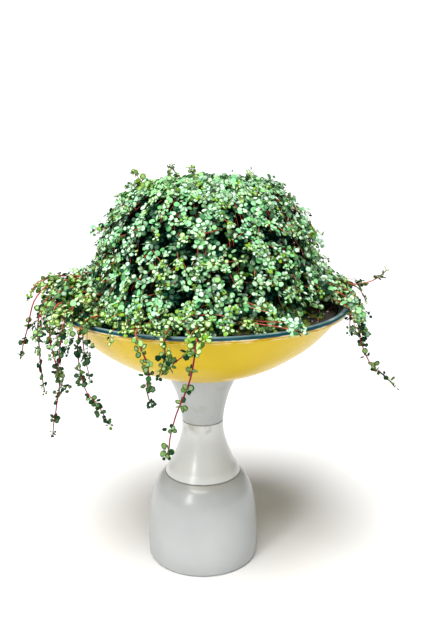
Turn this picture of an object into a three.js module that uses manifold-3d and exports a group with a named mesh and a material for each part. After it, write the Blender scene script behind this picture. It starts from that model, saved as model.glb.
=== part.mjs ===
// A silver sparkle pilea: a mound of small round leaves on thin stems, planted in a wide
// shallow yellow bowl with a dark rim, which stands on a turned white pedestal in three pieces.
// Millimetres, +Z up. The origin is the centre of the pedestal's flat foot.
// Azimuths are in degrees round +Z: 0 is the front (-Y), 90 is the right (+X).
import * as THREE from "three";
import { mergeVertices } from "three/addons/utils/BufferGeometryUtils.js";
import Module from "manifold-3d";

const wasm = await Module();
wasm.setup();

// ---------------------------------------------------------------- driving dimensions

const GAP = 0.3; // running gap wherever one piece rests on or in another
const WELD = 1e-3; // corners nearer to each other than this become one
const FACETS = 24; // sides of every turned piece
const SEED = 20517;

// Pedestal: outer profiles as radius and height above the foot.
const LOWER_SEAM_Z = 113; // dome to cone
const UPPER_SEAM_Z = 182.6; // cone to neck
const FOOT = [[0, 0], [67, 0], [70, 3]];
const DOME = [
  [71, 22], [70.6, 35], [69.1, 55], [67.1, 73], [63.2, 90], [58.7, 100], [54.1, 107], [48, LOWER_SEAM_Z],
];
const CONE = [
  [48, LOWER_SEAM_Z + GAP], [44.6, 121], [39.1, 130], [32.8, 145], [27.4, 164], [25.9, UPPER_SEAM_Z],
];
const NECK = [[25.9, UPPER_SEAM_Z + GAP], [28.4, 200], [33.6, 220], [40.5, 236]];
const DOME_SPIGOT_R = 34; // the cone's spigot, which sits in the dome
const NECK_SPIGOT_R = 16; // the neck's spigot, which sits in the cone
const SPIGOT_DEPTH = 9;
const SEAT_R = 44; // the neck's dished top, which carries the bowl

// Bowl: outer profile as radius and height from the rim plane.
const RIM_Z = 335; // height of the bowl's rim plane, the datum for the bowl and the plant
const BOWL_R = 175; // radius over the bowl's out-turned lip
const BOWL_WALL = 3.5;
const BOWL = [
  [0, -94], [30.5, -92], [55.4, -86], [78.3, -78], [99.4, -68],
  [118.7, -56], [137.3, -42], [152.8, -26], [167.6, -8],
];
const LIP_THICK = 1.9;
const BAND_R = 176; // dark band round the rim
const BAND_WIDTH = 6;
const BAND_TOP = 2.5; // above the rim plane
const BAND_BASE = -3; // below it, on the lip

// Soil
const SOIL_R = 163;
const SOIL_EDGE = -3.5; // soil level at the rim, from the rim plane
const SOIL_CROWN = 7; // soil level in the middle
const ROOT_DEPTH = 9; // how far a stem's foot goes into the soil

// Mound of foliage. Centre lines of its sprays as radius and height above the rim plane.
const MOUND_X = 8; // it grows a little right of the bowl's axis
const OUTER_SPRAYS = 12;
const OUTER_ROOT_R = 44;
const OUTER_RISE = [[46, 45], [54, 104], [68, 132]];
const OUTER_FALL = [[87, 131], [104, 112], [113, 88], [120, 60], [132, 38]];
const HEM_R = 148; // where an outer spray's lower end hangs
const HEM_Z = 13; // and how high, at the front and the back
const HEM_LIFT = 14; // it hangs this much higher at the sides
const INNER_SPRAYS = 4;
const INNER_ROOT_R = 14;
const INNER_RISE = [[18, 70], [22, 118], [34, 136], [50, 136]];
const INNER_WIDE = 16; // half the width of an inner spray's core at its top
const BUNCH_R = 3.4; // a spray's bunch of stems where it rises
const CURTAIN = 7; // thickness of a spray's core where it is spread out
const FILL = 0.8; // share of its wedge of the mound that an outer core fills
const LANES = [-0.8, 0.75, -0.05]; // sideways places of its leaves, as shares of the core's half width
const STAND_OFF = 14; // from a core's middle to its leaves
const MOUND_LEAF = 17; // leaves that cover the mound, from their cluster's middle to the tip

// Trailing stems: the azimuth and radius of the root, then points of the hanging stem
// (x, y, height from the rim plane), which passes over the rim and hangs free of the bowl.
const TRAIL_STEM_R = 1.2;
const TRAIL_STEP = 17; // along the stem from one ring of its skin to the next
const TRAIL_LEAF = 9;
const TRAIL_PITCH = 31; // along the stem from one pair of leaves to the next
const BARE_FOOT = 34; // length of stem that has no leaves, from the root
const TRAILS = {
  left_sprig: {
    root: [-97, 138],
    to: [[-146, 20, 24], [-170, 20, 26], [-190, 16, 26], [-211, 12, 10]],
  },
  left_far: {
    root: [-86, 138],
    to: [[-150, -8, 24], [-176, -16, 26], [-199, -24, 4], [-206, -28, -30], [-214, -32, -64]],
  },
  left_outer: {
    root: [-75, 138],
    to: [[-149, -34, 20], [-173, -44, 20], [-190, -46, -8], [-194, -42, -50], [-189, -40, -102]],
  },
  left_long: {
    root: [-64, 140],
    to: [
      [-140, -64, 16], [-163, -76, 12], [-173, -76, -26],
      [-165, -82, -72], [-173, -70, -110], [-180, -56, -150],
    ],
  },
  left_inner: {
    root: [-53, 142],
    to: [[-128, -94, 14], [-146, -107, 8], [-155, -106, -28], [-158, -101, -62]],
  },
  left_front: {
    root: [-42, 146],
    to: [
      [-111, -126, 12], [-125, -141, 4], [-128, -143, -28],
      [-119, -147, -66], [-103, -155, -80], [-92, -162, -98],
    ],
  },
  front_short: {
    root: [-21, 150],
    to: [[-63, -158, 8], [-62, -178, 4], [-50, -184, -22], [-52, -183, -46], [-48, -184, -62]],
  },
  front_cluster: {
    root: [-10, 152],
    to: [[-32, -166, 8], [-35, -183, 2], [-35, -186, -20], [-41, -186, -38]],
  },
  front_long: {
    root: [0, 152],
    to: [
      [-3, -168, 9], [-4, -186, 2], [-9, -190, -32],
      [-22, -190, -68], [-33, -188, -100], [-37, -187, -124],
    ],
  },
  right_long: {
    root: [78, 140],
    to: [[156, -34, 18], [180, -40, 6], [190, -42, -34], [205, -46, -70], [218, -50, -80], [230, -54, -94]],
  },
  right_sprig: {
    root: [89, 138],
    to: [[156, 2, 24], [182, 2, 20], [206, 0, 26], [220, -4, 38]],
  },
  right_back: {
    root: [104, 140],
    to: [[152, 40, 18], [176, 46, 14], [190, 50, -18], [194, 52, -52]],
  },
  back_left: {
    root: [-132, 146],
    to: [[-118, 116, 12], [-136, 130, 6], [-144, 138, -36], [-138, 142, -88]],
  },
  back_right: {
    root: [152, 146],
    to: [[78, 142, 12], [86, 160, 6], [90, 168, -30], [84, 172, -66]],
  },
};

// Leaf clusters
const BLADE = 0.4; // radius of one leaf, as a share of the cluster's reach
const NOTCH = 0.2; // how near the middle the outline comes between two leaves
const DROOP = 0.12; // fall of the blade from its middle to its tips
const BLADE_THICK = 1.5; // at the middle
const STALK_R = 0.9;

const GLAZE = { color: "#dcdedb", roughness: 0.35 };
const YELLOW = { color: "#f0cf4e", roughness: 0.25 };
const TEAL = { color: "#14414d", roughness: 0.35 };
const EARTH = { color: "#2b211a", roughness: 0.95 };
const LEAF = { color: "#7fae86", roughness: 0.5 };

// ---------------------------------------------------------------- helpers

const { degToRad, lerp, smoothstep } = THREE.MathUtils;
const X_AXIS = new THREE.Vector3(1, 0, 0);
const Y_AXIS = new THREE.Vector3(0, 1, 0);
const Z_AXIS = new THREE.Vector3(0, 0, 1);

// A repeatable stream of numbers from 0 to 1.
function draws(seed) {
  let state = seed >>> 0;
  return () => {
    state = (state + 0x6d2b79f5) >>> 0;
    let t = state;
    t = Math.imul(t ^ (t >>> 15), t | 1);
    t ^= t + Math.imul(t ^ (t >>> 7), t | 61);
    return ((t ^ (t >>> 14)) >>> 0) / 4294967296;
  };
}

const random = draws(SEED);
const spread = (half) => (random() * 2 - 1) * half;

function around(radius, azimuth, z, centreX = 0) {
  const a = degToRad(azimuth);
  return new THREE.Vector3(centreX + radius * Math.sin(a), -radius * Math.cos(a), z);
}

function solidOf(geometry) {
  const bare = geometry.index ? geometry.toNonIndexed() : geometry.clone();
  bare.deleteAttribute("normal");
  bare.deleteAttribute("uv");
  const merged = mergeVertices(bare, WELD);
  const vertProperties = merged.attributes.position.array;
  const triVerts = new Uint32Array(merged.index.array);
  return new wasm.Manifold(new wasm.Mesh({ numProp: 3, vertProperties, triVerts }));
}

function geometryOf(solid) {
  const { vertProperties, triVerts } = solid.getMesh();
  const geometry = new THREE.BufferGeometry();
  geometry.setAttribute("position", new THREE.BufferAttribute(new Float32Array(vertProperties), 3));
  geometry.setIndex(new THREE.BufferAttribute(new Uint32Array(triVerts), 1));
  geometry.computeVertexNormals();
  return geometry;
}

// The one body that a cut or a join leaves, without its scraps.
function oneBody(solid) {
  const bodies = solidOf(geometryOf(solid)).decompose();
  bodies.sort((a, b) => b.volume() - a.volume());
  return geometryOf(bodies[0]);
}

// Turns a closed profile of [radius, height] about +Z.
function turned(profile) {
  const points = profile.map(([r, z]) => new THREE.Vector2(r, z));
  return new THREE.LatheGeometry(points, FACETS).rotateX(Math.PI / 2);
}

function smoothed(points, count) {
  const curve = new THREE.SplineCurve(points.map(([r, z]) => new THREE.Vector2(r, z)));
  return curve.getPoints(count).map((p) => [p.x, p.y]);
}

function smoothLine(points) {
  return new THREE.CatmullRomCurve3(points, false, "catmullrom", 0.5);
}

function indexed(points, faces) {
  const geometry = new THREE.BufferGeometry().setFromPoints(points);
  geometry.setIndex(faces);
  return geometry;
}

function centreOf(points) {
  return points.reduce((sum, p) => sum.add(p), new THREE.Vector3()).divideScalar(points.length);
}

// A closed skin over rings of points, each ring with the same count, and a point in each end.
function lofted(rings) {
  const sides = rings[0].length;
  const top = (rings.length - 1) * sides;
  const points = rings.flat();
  const first = points.push(centreOf(rings[0])) - 1;
  const last = points.push(centreOf(rings.at(-1))) - 1;
  const faces = [];
  for (let k = 0; k < sides; k++) {
    const next = (k + 1) % sides;
    for (let row = 0; row < top; row += sides) {
      faces.push(row + k, row + sides + next, row + next);
      faces.push(row + k, row + sides + k, row + sides + next);
    }
    faces.push(first, k, next, last, top + next, top + k);
  }
  return indexed(points, faces);
}

// A ring round a centre, `wide` along the side direction and `thick` along the out direction.
function ringAt(centre, side, out, wide, thick, sides) {
  return Array.from({ length: sides }, (_, k) => {
    const a = (2 * Math.PI * k) / sides;
    return centre.clone().addScaledVector(side, wide * Math.cos(a)).addScaledVector(out, thick * Math.sin(a));
  });
}

// ---------------------------------------------------------------- pedestal

function domeBase() {
  const floorZ = LOWER_SEAM_Z - SPIGOT_DEPTH - GAP;
  const socket = [[DOME_SPIGOT_R + GAP, LOWER_SEAM_Z], [DOME_SPIGOT_R + GAP, floorZ], [0, floorZ]];
  return turned([...FOOT, ...smoothed(DOME, 8), ...socket]);
}

function cone() {
  const spigotZ = LOWER_SEAM_Z - SPIGOT_DEPTH;
  const spigot = [[0, spigotZ], [DOME_SPIGOT_R, spigotZ], [DOME_SPIGOT_R, LOWER_SEAM_Z + GAP]];
  const floorZ = UPPER_SEAM_Z - SPIGOT_DEPTH - GAP;
  const socket = [[NECK_SPIGOT_R + GAP, UPPER_SEAM_Z], [NECK_SPIGOT_R + GAP, floorZ], [0, floorZ]];
  return turned([...spigot, ...smoothed(CONE, 6), ...socket]);
}

function neck() {
  const spigotZ = UPPER_SEAM_Z - SPIGOT_DEPTH;
  const spigot = [[0, spigotZ], [NECK_SPIGOT_R, spigotZ], [NECK_SPIGOT_R, UPPER_SEAM_Z + GAP]];
  const seat = [SEAT_R, BOWL[1][0], 0].map((r) => [r, underBowl(r)]);
  return turned([...spigot, ...smoothed(NECK, 4), ...seat]);
}

// Height just under the bowl's outer face at a radius.
function underBowl(radius) {
  const k = BOWL.findIndex(([r]) => r > radius);
  const [[r0, z0], [r1, z1]] = [BOWL[k - 1], BOWL[k]];
  return RIM_Z - GAP + lerp(z0, z1, (radius - r0) / (r1 - r0));
}

// ---------------------------------------------------------------- bowl, band and soil

// Every other point of the bowl's profile moved in by a distance: its inner face, or the soil's underside.
function insideBowl(distance) {
  const points = BOWL.map(([r, z], k) => {
    const [r0, z0] = BOWL[Math.max(k - 1, 0)];
    const [r1, z1] = BOWL[Math.min(k + 1, BOWL.length - 1)];
    const length = Math.hypot(r1 - r0, z1 - z0);
    const radius = k ? r - (distance * (z1 - z0)) / length : 0;
    return [radius, RIM_Z + z + (distance * (r1 - r0)) / length];
  });
  return points.filter((_, k) => k % 2 === 0);
}

function bowlShell() {
  const outer = BOWL.map(([r, z]) => [r, RIM_Z + z]);
  const lipTop = RIM_Z + BAND_BASE - GAP;
  const lipBase = lipTop - LIP_THICK;
  const lip = [[BOWL_R - BOWL_WALL, lipBase], [BOWL_R, lipBase], [BOWL_R, lipTop], [BOWL.at(-1)[0], lipTop]];
  return turned([...outer, ...lip, ...insideBowl(BOWL_WALL).reverse()]);
}

function rimBand() {
  const inner = BAND_R - BAND_WIDTH;
  const section = [
    [inner, BAND_BASE], [BAND_R, BAND_BASE], [BAND_R + 0.6, -0.5],
    [BAND_R - 1, BAND_TOP - 0.7], [BAND_R - 3, BAND_TOP], [inner, BAND_TOP - 1],
  ];
  return turned([...section, section[0]].map(([r, z]) => [r, RIM_Z + z]));
}

// Height of the soil's gently domed surface at a radius.
function soilTop(radius) {
  const rise = Math.cos((Math.min(radius / SOIL_R, 1) * Math.PI) / 2);
  return RIM_Z + lerp(SOIL_EDGE, SOIL_CROWN, rise);
}

function soil() {
  const under = insideBowl(BOWL_WALL + GAP).slice(0, -1);
  const side = [SOIL_R - 1, RIM_Z + BOWL.at(-1)[1]];
  const top = [1, 0.75, 0.4, 0].map((share) => [SOIL_R * share, soilTop(SOIL_R * share)]);
  return turned([...under, side, ...top]);
}

// The plain hole in the soil in which a stem's foot stands.
function rootHole(foot, stemR) {
  const reach = (stemR + 1) / Math.cos(Math.PI / 6);
  const height = ROOT_DEPTH + 12;
  const hole = new THREE.CylinderGeometry(reach, reach, height, 6).rotateX(Math.PI / 2);
  return solidOf(hole.translate(foot.x, foot.y, foot.z + height / 2 - GAP));
}

// ---------------------------------------------------------------- leaves

// A cluster of round leaves set crosswise: one thin arched blade whose outline is cut nearly to the
// middle between the leaves, on a three-sided stalk that runs down to `root`. A margin swells it.
function leafCluster(leaves, reach, root, margin) {
  const rim = [];
  for (let k = 0; k < leaves; k++) {
    const middle = new THREE.Vector2(reach * (1 - BLADE), 0);
    const outline = [-84, 0, 84].map((degrees) => {
      const a = degToRad(degrees);
      return new THREE.Vector2(Math.cos(a), Math.sin(a)).multiplyScalar(reach * BLADE + margin).add(middle);
    });
    const halfTurn = -Math.PI / leaves;
    const cut = new THREE.Vector2(Math.cos(halfTurn), Math.sin(halfTurn));
    cut.multiplyScalar(reach * NOTCH + margin);
    for (const p of [cut, ...outline]) {
      p.rotateAround(new THREE.Vector2(), (2 * Math.PI * k) / leaves);
      rim.push(new THREE.Vector3(p.x, p.y, -DROOP * p.length()));
    }
  }
  const underside = new THREE.Vector3(0, 0, -BLADE_THICK - margin);
  const collar = ringAt(underside, X_AXIS, Y_AXIS, STALK_R + margin, STALK_R + margin, 3);
  const foot = collar.map((p) => p.clone().add(root).sub(underside));
  const top = new THREE.Vector3(0, 0, margin);
  return indexed([...rim, ...collar, ...foot, top], clusterFaces(rim.length));
}

// Faces over the rim's points, the collar's three, the foot's three and the top one.
function clusterFaces(rim) {
  const top = rim + 6;
  const faces = [];
  for (let i = 0; i < rim; i++) {
    const next = (i + 1) % rim;
    const here = rim + Math.floor((i * 3) / rim);
    const after = rim + Math.floor((next * 3) / rim);
    faces.push(top, i, next, here, next, i);
    if (after !== here) faces.push(here, after, next);
  }
  for (let k = 0; k < 3; k++) {
    const [a, b] = [rim + k, rim + ((k + 1) % 3)];
    faces.push(a, a + 3, b, b, a + 3, b + 3);
  }
  faces.push(rim + 3, rim + 5, rim + 4);
  return faces;
}

// Every solid so far, so that what would cross another piece is bent clear of it.
const grown = [];

function remember(name, solid, isStem) {
  grown.push({ name, solid, box: solid.boundingBox(), isStem });
}

function crosses(candidate, owner) {
  const box = candidate.boundingBox();
  return grown.some((other) => {
    const ownStem = other.isStem && other.name === owner;
    const apart = [0, 1, 2].some((k) => box.max[k] < other.box.min[k] || other.box.max[k] < box.min[k]);
    return !ownStem && !apart && other.solid.intersect(candidate).volume() > WELD;
  });
}

// A leaf cluster with its middle at `at`, facing `facing`, whose stalk is sunk into `anchor`.
// It is turned, tilted and at last made smaller until it crosses nothing else.
function growCluster(owner, { leaves, reach, at, facing, anchor }) {
  const tries = 14;
  for (let attempt = 0; attempt < tries; attempt++) {
    const size = reach * (attempt < tries / 2 ? 1 : 0.8);
    const tilt = new THREE.Vector3(spread(0.35), spread(0.35), spread(0.35));
    const upright = new THREE.Quaternion().setFromUnitVectors(Z_AXIS, facing.clone().add(tilt).normalize());
    upright.multiply(new THREE.Quaternion().setFromAxisAngle(Z_AXIS, random() * Math.PI));
    const place = new THREE.Matrix4().makeRotationFromQuaternion(upright).setPosition(at);
    const root = anchor.clone().applyMatrix4(place.clone().invert());
    root.z = Math.min(root.z, -BLADE_THICK - 1);
    const swollen = solidOf(leafCluster(leaves, size, root, GAP).applyMatrix4(place));
    if (crosses(swollen, owner)) continue;
    remember(owner, swollen, false);
    return [solidOf(leafCluster(leaves, size, root, 0).applyMatrix4(place))];
  }
  return [];
}

// ---------------------------------------------------------------- leafy sprays of the mound

// The points of a spray's centre line, with its foot upright in the soil.
function sprayLine(azimuth, rootR, line) {
  const foot = around(rootR, azimuth, soilTop(rootR) - ROOT_DEPTH, MOUND_X);
  const collar = around(rootR, azimuth, soilTop(rootR) + ROOT_DEPTH, MOUND_X);
  return [foot, collar, ...line.map(([r, z]) => around(r, azimuth, RIM_Z + z, MOUND_X))];
}

// Rises near the middle, arches over and hangs down the mound's side to its hem.
function outerSpray(index) {
  const halfWedge = degToRad(180 / OUTER_SPRAYS);
  const azimuth = ((index + 0.5) * 360) / OUTER_SPRAYS - 180;
  const lift = spread(4);
  const sideways = Math.sin(degToRad(azimuth)) ** 2;
  const fall = OUTER_FALL.map(([r, z]) => [r, z + lift]);
  const hem = [HEM_R + 3 * sideways, HEM_Z + HEM_LIFT * sideways];
  const wide = (t, { x, y }) => {
    const wedge = FILL * Math.hypot(x - MOUND_X, y) * Math.tan(halfWedge);
    return lerp(BUNCH_R, wedge, smoothstep(t, 0.25, 0.5) * (1 - 0.6 * smoothstep(t, 0.75, 1)));
  };
  const points = sprayLine(azimuth, OUTER_ROOT_R, [...OUTER_RISE, ...fall, hem]);
  return { azimuth, points, wide, steps: 8, leafy: [0.42, 0.985], count: 16 };
}

// Rises at the middle and spreads over its quarter of the mound's crown.
function innerSpray(index) {
  const azimuth = ((index + 0.5) * 360) / INNER_SPRAYS - 180;
  const lift = spread(3);
  const rise = INNER_RISE.map(([r, z]) => [r, z + lift]);
  const wide = (t) => lerp(BUNCH_R, INNER_WIDE, smoothstep(t, 0.55, 0.8));
  const points = sprayLine(azimuth, INNER_ROOT_R, rise);
  return { azimuth, points, wide, steps: 6, leafy: [0.68, 0.97], count: 6 };
}

// The spray's core: a bunch of stems that rises from the soil and spreads into a thin curtain.
function sprayCore({ azimuth, points, wide, steps }) {
  const curve = smoothLine(points);
  const side = around(1, azimuth + 90, 0);
  const rings = [];
  for (let j = 0; j <= steps; j++) {
    const centre = curve.getPointAt(j / steps);
    const out = new THREE.Vector3().crossVectors(side, curve.getTangentAt(j / steps)).normalize();
    rings.push(ringAt(centre, side, out, wide(j / steps, centre), CURTAIN / 2, 6));
  }
  return { curve, side, geometry: lofted(rings) };
}

// Leaf clusters down the spray, at its left, its right and its middle by turns, facing out and up.
function sprayLeaves(name, { wide, leafy: [from, to], count }, { curve, side }) {
  return Array.from({ length: count }, (_, k) => {
    const t = lerp(from, to, k / (count - 1));
    const lean = LANES[k % LANES.length];
    const middle = curve.getPointAt(t);
    const anchor = middle.clone().addScaledVector(side, lean * wide(t, middle));
    const out = new THREE.Vector3().crossVectors(curve.getTangentAt(t), side).normalize();
    const at = anchor.clone().addScaledVector(out, STAND_OFF + spread(4)).addScaledVector(side, spread(2));
    const facing = out.addScaledVector(Z_AXIS, 0.6).addScaledVector(side, 0.3 * lean).normalize();
    return growCluster(name, { leaves: 4, reach: MOUND_LEAF + spread(1), at, facing, anchor });
  }).flat();
}

// ---------------------------------------------------------------- trailing stems

function trailCurve({ root: [azimuth, radius], to }) {
  const foot = around(radius, azimuth, soilTop(radius) - ROOT_DEPTH);
  const collar = around(radius + 1, azimuth, soilTop(radius) + 5);
  return smoothLine([foot, collar, ...to.map(([x, y, z]) => new THREE.Vector3(x, y, RIM_Z + z))]);
}

// A thin three-sided stem that tapers along its curve.
function trailStem(curve) {
  const steps = Math.round(curve.getLength() / TRAIL_STEP);
  const side = X_AXIS.clone();
  const rings = [];
  for (let j = 0; j <= steps; j++) {
    const along = curve.getTangentAt(j / steps);
    side.addScaledVector(along, -side.dot(along)).normalize();
    const out = new THREE.Vector3().crossVectors(side, along);
    const radius = TRAIL_STEM_R * lerp(1.2, 0.9, j / steps);
    rings.push(ringAt(curve.getPointAt(j / steps), side, out, radius, radius, 3));
  }
  return lofted(rings);
}

function trailLeaves(name, curve) {
  const length = curve.getLength();
  const clusters = [];
  for (let s = BARE_FOOT; s <= length; s += TRAIL_PITCH + spread(3)) {
    const t = Math.min(s / length, 0.995);
    const centre = curve.getPointAt(t);
    const along = curve.getTangentAt(t);
    const outward = new THREE.Vector3(centre.x, centre.y, 60).normalize();
    const facing = outward.addScaledVector(along, 0.5).normalize();
    const at = centre.clone().addScaledVector(facing, 4.4);
    const anchor = centre.clone().addScaledVector(along, -TRAIL_STEM_R);
    const reach = TRAIL_LEAF * (1 - 0.25 * t);
    clusters.push(...growCluster(name, { leaves: 2, reach, at, facing, anchor }));
  }
  return clusters;
}

// ---------------------------------------------------------------- the assembly

const part = new THREE.Group();
part.name = "silver_sparkle_pilea";

function addNode(name, geometry, finish) {
  const mesh = new THREE.Mesh(geometry, new THREE.MeshStandardMaterial({ ...finish, metalness: 0 }));
  mesh.name = name;
  part.add(mesh);
}

addNode("pedestal_dome", domeBase(), GLAZE);
addNode("pedestal_cone", cone(), GLAZE);
addNode("pedestal_neck", neck(), GLAZE);
addNode("bowl", bowlShell(), YELLOW);
addNode("rim_band", rimBand(), TEAL);

let ground = solidOf(soil());
remember("soil", ground, false);
for (const mesh of part.children) remember(mesh.name, solidOf(mesh.geometry), false);

// Every plant node has a stem or core, the radius of its foot, and a maker of its leaves.
const plants = [];
for (const [name, trail] of Object.entries(TRAILS)) {
  const curve = trailCurve(trail);
  const node = "trail_" + name;
  const leaves = () => trailLeaves(node, curve);
  plants.push({ node, stem: trailStem(curve), curve, footR: 2.2 * TRAIL_STEM_R, leaves });
}
function addSprays(prefix, count, makeSpray) {
  for (let k = 0; k < count; k++) {
    const spray = makeSpray(k);
    const core = sprayCore(spray);
    const node = prefix + String(k + 1).padStart(2, "0");
    const leaves = () => sprayLeaves(node, spray, core);
    plants.push({ node, stem: core.geometry, curve: core.curve, footR: CURTAIN / 2, leaves });
  }
}
addSprays("crown_spray_", INNER_SPRAYS, innerSpray);
addSprays("outer_spray_", OUTER_SPRAYS, outerSpray);

for (const plant of plants) {
  plant.solid = solidOf(plant.stem);
  remember(plant.node, plant.solid, true);
  ground = ground.subtract(rootHole(plant.curve.getPoint(0), plant.footR));
}
addNode("soil", oneBody(ground), EARTH);
for (const { node, solid, leaves } of plants) {
  addNode(node, oneBody(wasm.Manifold.union([solid, ...leaves()])), LEAF);
}

export default part;
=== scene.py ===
import math

import bpy
import numpy as np
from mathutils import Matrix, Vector


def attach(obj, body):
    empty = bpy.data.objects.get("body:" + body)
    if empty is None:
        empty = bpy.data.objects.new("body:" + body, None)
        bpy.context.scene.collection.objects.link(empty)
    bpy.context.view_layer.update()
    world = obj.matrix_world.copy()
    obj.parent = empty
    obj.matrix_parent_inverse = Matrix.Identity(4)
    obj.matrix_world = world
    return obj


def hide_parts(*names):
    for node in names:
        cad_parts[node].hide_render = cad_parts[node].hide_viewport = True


# A silver sparkle pilea in a yellow pedestal bowl. Lengths here are in millimetres, and heights of the
# bowl and the plant are from the rim plane, as in the part's source. Meshes are written in metres.
# Azimuths are in degrees round +Z: 0 is the front (-Y), 90 is the right (+X).

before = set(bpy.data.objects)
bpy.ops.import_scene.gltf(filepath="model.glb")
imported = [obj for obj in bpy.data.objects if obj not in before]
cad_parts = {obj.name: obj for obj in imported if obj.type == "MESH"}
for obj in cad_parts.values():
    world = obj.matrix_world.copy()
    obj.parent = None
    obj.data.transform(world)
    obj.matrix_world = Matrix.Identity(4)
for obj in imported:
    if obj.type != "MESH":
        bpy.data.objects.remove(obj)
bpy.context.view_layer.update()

MM = 0.001
SEED = 20517
MOUND_SEED, TRAIL_SEED = 107, 202

# ---------------------------------------------------------------- sizes that the CAD gives

GAP = 0.3
LOWER_SEAM_Z, UPPER_SEAM_Z = 113.0, 182.6
DOME = [(71, 22), (70.6, 35), (69.1, 55), (67.1, 73), (63.2, 90), (58.7, 100), (54.1, 107), (48, 113)]
CONE = [(48, 113.3), (44.6, 121), (39.1, 130), (32.8, 145), (27.4, 164), (25.9, 182.6)]
NECK = [(25.9, 182.9), (28.4, 200), (33.6, 220), (40.5, 236)]
DOME_SPIGOT_R, NECK_SPIGOT_R, SPIGOT_DEPTH, SEAT_R = 34.0, 16.0, 9.0, 44.0

RIM_Z = 335.0
BOWL = [
    (0, -94), (30.5, -92), (55.4, -86), (78.3, -78), (99.4, -68),
    (118.7, -56), (137.3, -42), (152.8, -26), (167.6, -8),
]
BOWL_R, BOWL_WALL, LIP_THICK = 175.0, 3.5, 1.9
BAND_R, BAND_WIDTH, BAND_TOP, BAND_BASE = 176.0, 6.0, 2.5, -3.0
SOIL_R, SOIL_EDGE, SOIL_CROWN = 163.0, -3.5, 7.0
MOUND_X = 8.0
# How far under the soil's top a stem starts.
ROOT_DEPTH = 8

# Trailing stems: azimuth and radius of the foot, and points (x, y, height).
TRAILS = {
    "left_sprig": ((-97, 138), [(-146, 20, 24), (-170, 20, 26), (-190, 16, 26), (-211, 12, 10)]),
    "left_far": (
        (-86, 138),
        [(-150, -8, 24), (-176, -16, 26), (-199, -24, 4), (-206, -28, -30), (-214, -32, -64)],
    ),
    "left_outer": (
        (-75, 138),
        [(-149, -34, 20), (-173, -44, 20), (-190, -46, -8), (-194, -42, -50), (-189, -40, -102)],
    ),
    "left_long": (
        (-64, 140),
        [
            (-140, -64, 16), (-163, -76, 12), (-173, -76, -26), (-165, -82, -72), (-173, -70, -110),
            (-180, -56, -150),
        ],
    ),
    "left_inner": ((-53, 142), [(-128, -94, 14), (-146, -107, 8), (-155, -106, -28), (-158, -101, -62)]),
    "left_front": (
        (-42, 146),
        [
            (-111, -126, 12), (-125, -141, 4), (-128, -143, -28), (-119, -147, -66), (-103, -155, -80),
            (-92, -162, -98),
        ],
    ),
    "front_short": (
        (-21, 150),
        [(-63, -158, 8), (-62, -178, 4), (-50, -184, -22), (-52, -183, -46), (-48, -184, -62)],
    ),
    "front_cluster": ((-10, 152), [(-32, -166, 8), (-35, -183, 2), (-35, -186, -20), (-41, -186, -38)]),
    "front_long": (
        (0, 152),
        [
            (-3, -168, 9), (-4, -186, 2), (-9, -190, -32), (-22, -190, -68), (-33, -188, -100),
            (-37, -187, -124),
        ],
    ),
    "right_long": (
        (78, 140),
        [(156, -34, 18), (180, -40, 6), (190, -42, -34), (205, -46, -70), (218, -50, -80), (230, -54, -94)],
    ),
    "right_sprig": ((89, 138), [(156, 2, 24), (182, 2, 20), (206, 0, 26), (220, -4, 38)]),
    "right_back": ((104, 140), [(152, 40, 18), (176, 46, 14), (190, 50, -18), (194, 52, -52)]),
    "back_left": ((-132, 146), [(-118, 116, 12), (-136, 130, 6), (-144, 138, -36), (-138, 142, -88)]),
    "back_right": ((152, 146), [(78, 142, 12), (86, 160, 6), (90, 168, -30), (84, 172, -66)]),
}

# ---------------------------------------------------------------- numbers and lines


def mm(*values):
    """Millimetres as metres."""
    return [v * MM for v in values]


def lerp(a, b, t):
    return a + (b - a) * t


def unit(v):
    return v / np.maximum(np.linalg.norm(v, axis=-1, keepdims=True), 1e-9)


def smoothstep(low, high, x):
    t = np.clip((x - low) / (high - low), 0, 1)
    return t * t * (3 - 2 * t)


def wrap(azimuth):
    return (azimuth + 180) % 360 - 180


def around(radius, azimuth, height, centre_x=0.0):
    """Points at a radius and azimuth, `height` above the rim plane."""
    a = np.radians(azimuth)
    x = centre_x + radius * np.sin(a)
    return np.stack(np.broadcast_arrays(x, -radius * np.cos(a), height + RIM_Z), axis=-1).astype(float)


def from_rim(points):
    """Points whose heights are above the rim plane."""
    return np.array(points, float) + [0, 0, RIM_Z]


def spline(points, per_span):
    """A Catmull-Rom line through the points."""
    p = np.asarray(points, float)
    p = np.vstack([2 * p[0] - p[1], p, 2 * p[-1] - p[-2]])
    t = np.linspace(0, 1, per_span, endpoint=False)[:, None]
    spans = []
    for a, b, c, d in zip(p[:-3], p[1:-2], p[2:-1], p[3:]):
        spans.append(b + 0.5 * t * (c - a + t * (2 * a - 5 * b + 4 * c - d + t * (3 * (b - c) + d - a))))
    return np.vstack([*spans, p[-2:-1]])


def lengths(line):
    return np.concatenate([[0.0], np.cumsum(np.linalg.norm(np.diff(line, axis=0), axis=1))])


def rows_at(x, known, table):
    """Rows of a table at x, between the places where they are known."""
    return np.column_stack([np.interp(x, known, column) for column in table.T])


def resampled(line, step):
    s = lengths(line)
    return rows_at(np.linspace(0, s[-1], max(3, int(round(s[-1] / step)) + 1)), s, line)


def smooth_line(points, per_span, step):
    return resampled(spline(points, per_span), step)


def tangents(line):
    return unit(np.gradient(line, axis=0))


def first_length(line, ok):
    """Length along the line at which it first meets a condition for good."""
    bad = np.flatnonzero(~ok)
    k = 0 if not len(bad) else min(bad[-1] + 1, len(line) - 1)
    return lengths(line)[k]


def soil_top(radius):
    """Height of the soil at a radius, above the rim plane."""
    return lerp(SOIL_EDGE, SOIL_CROWN, np.cos(np.minimum(np.abs(radius) / SOIL_R, 1) * math.pi / 2))


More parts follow.
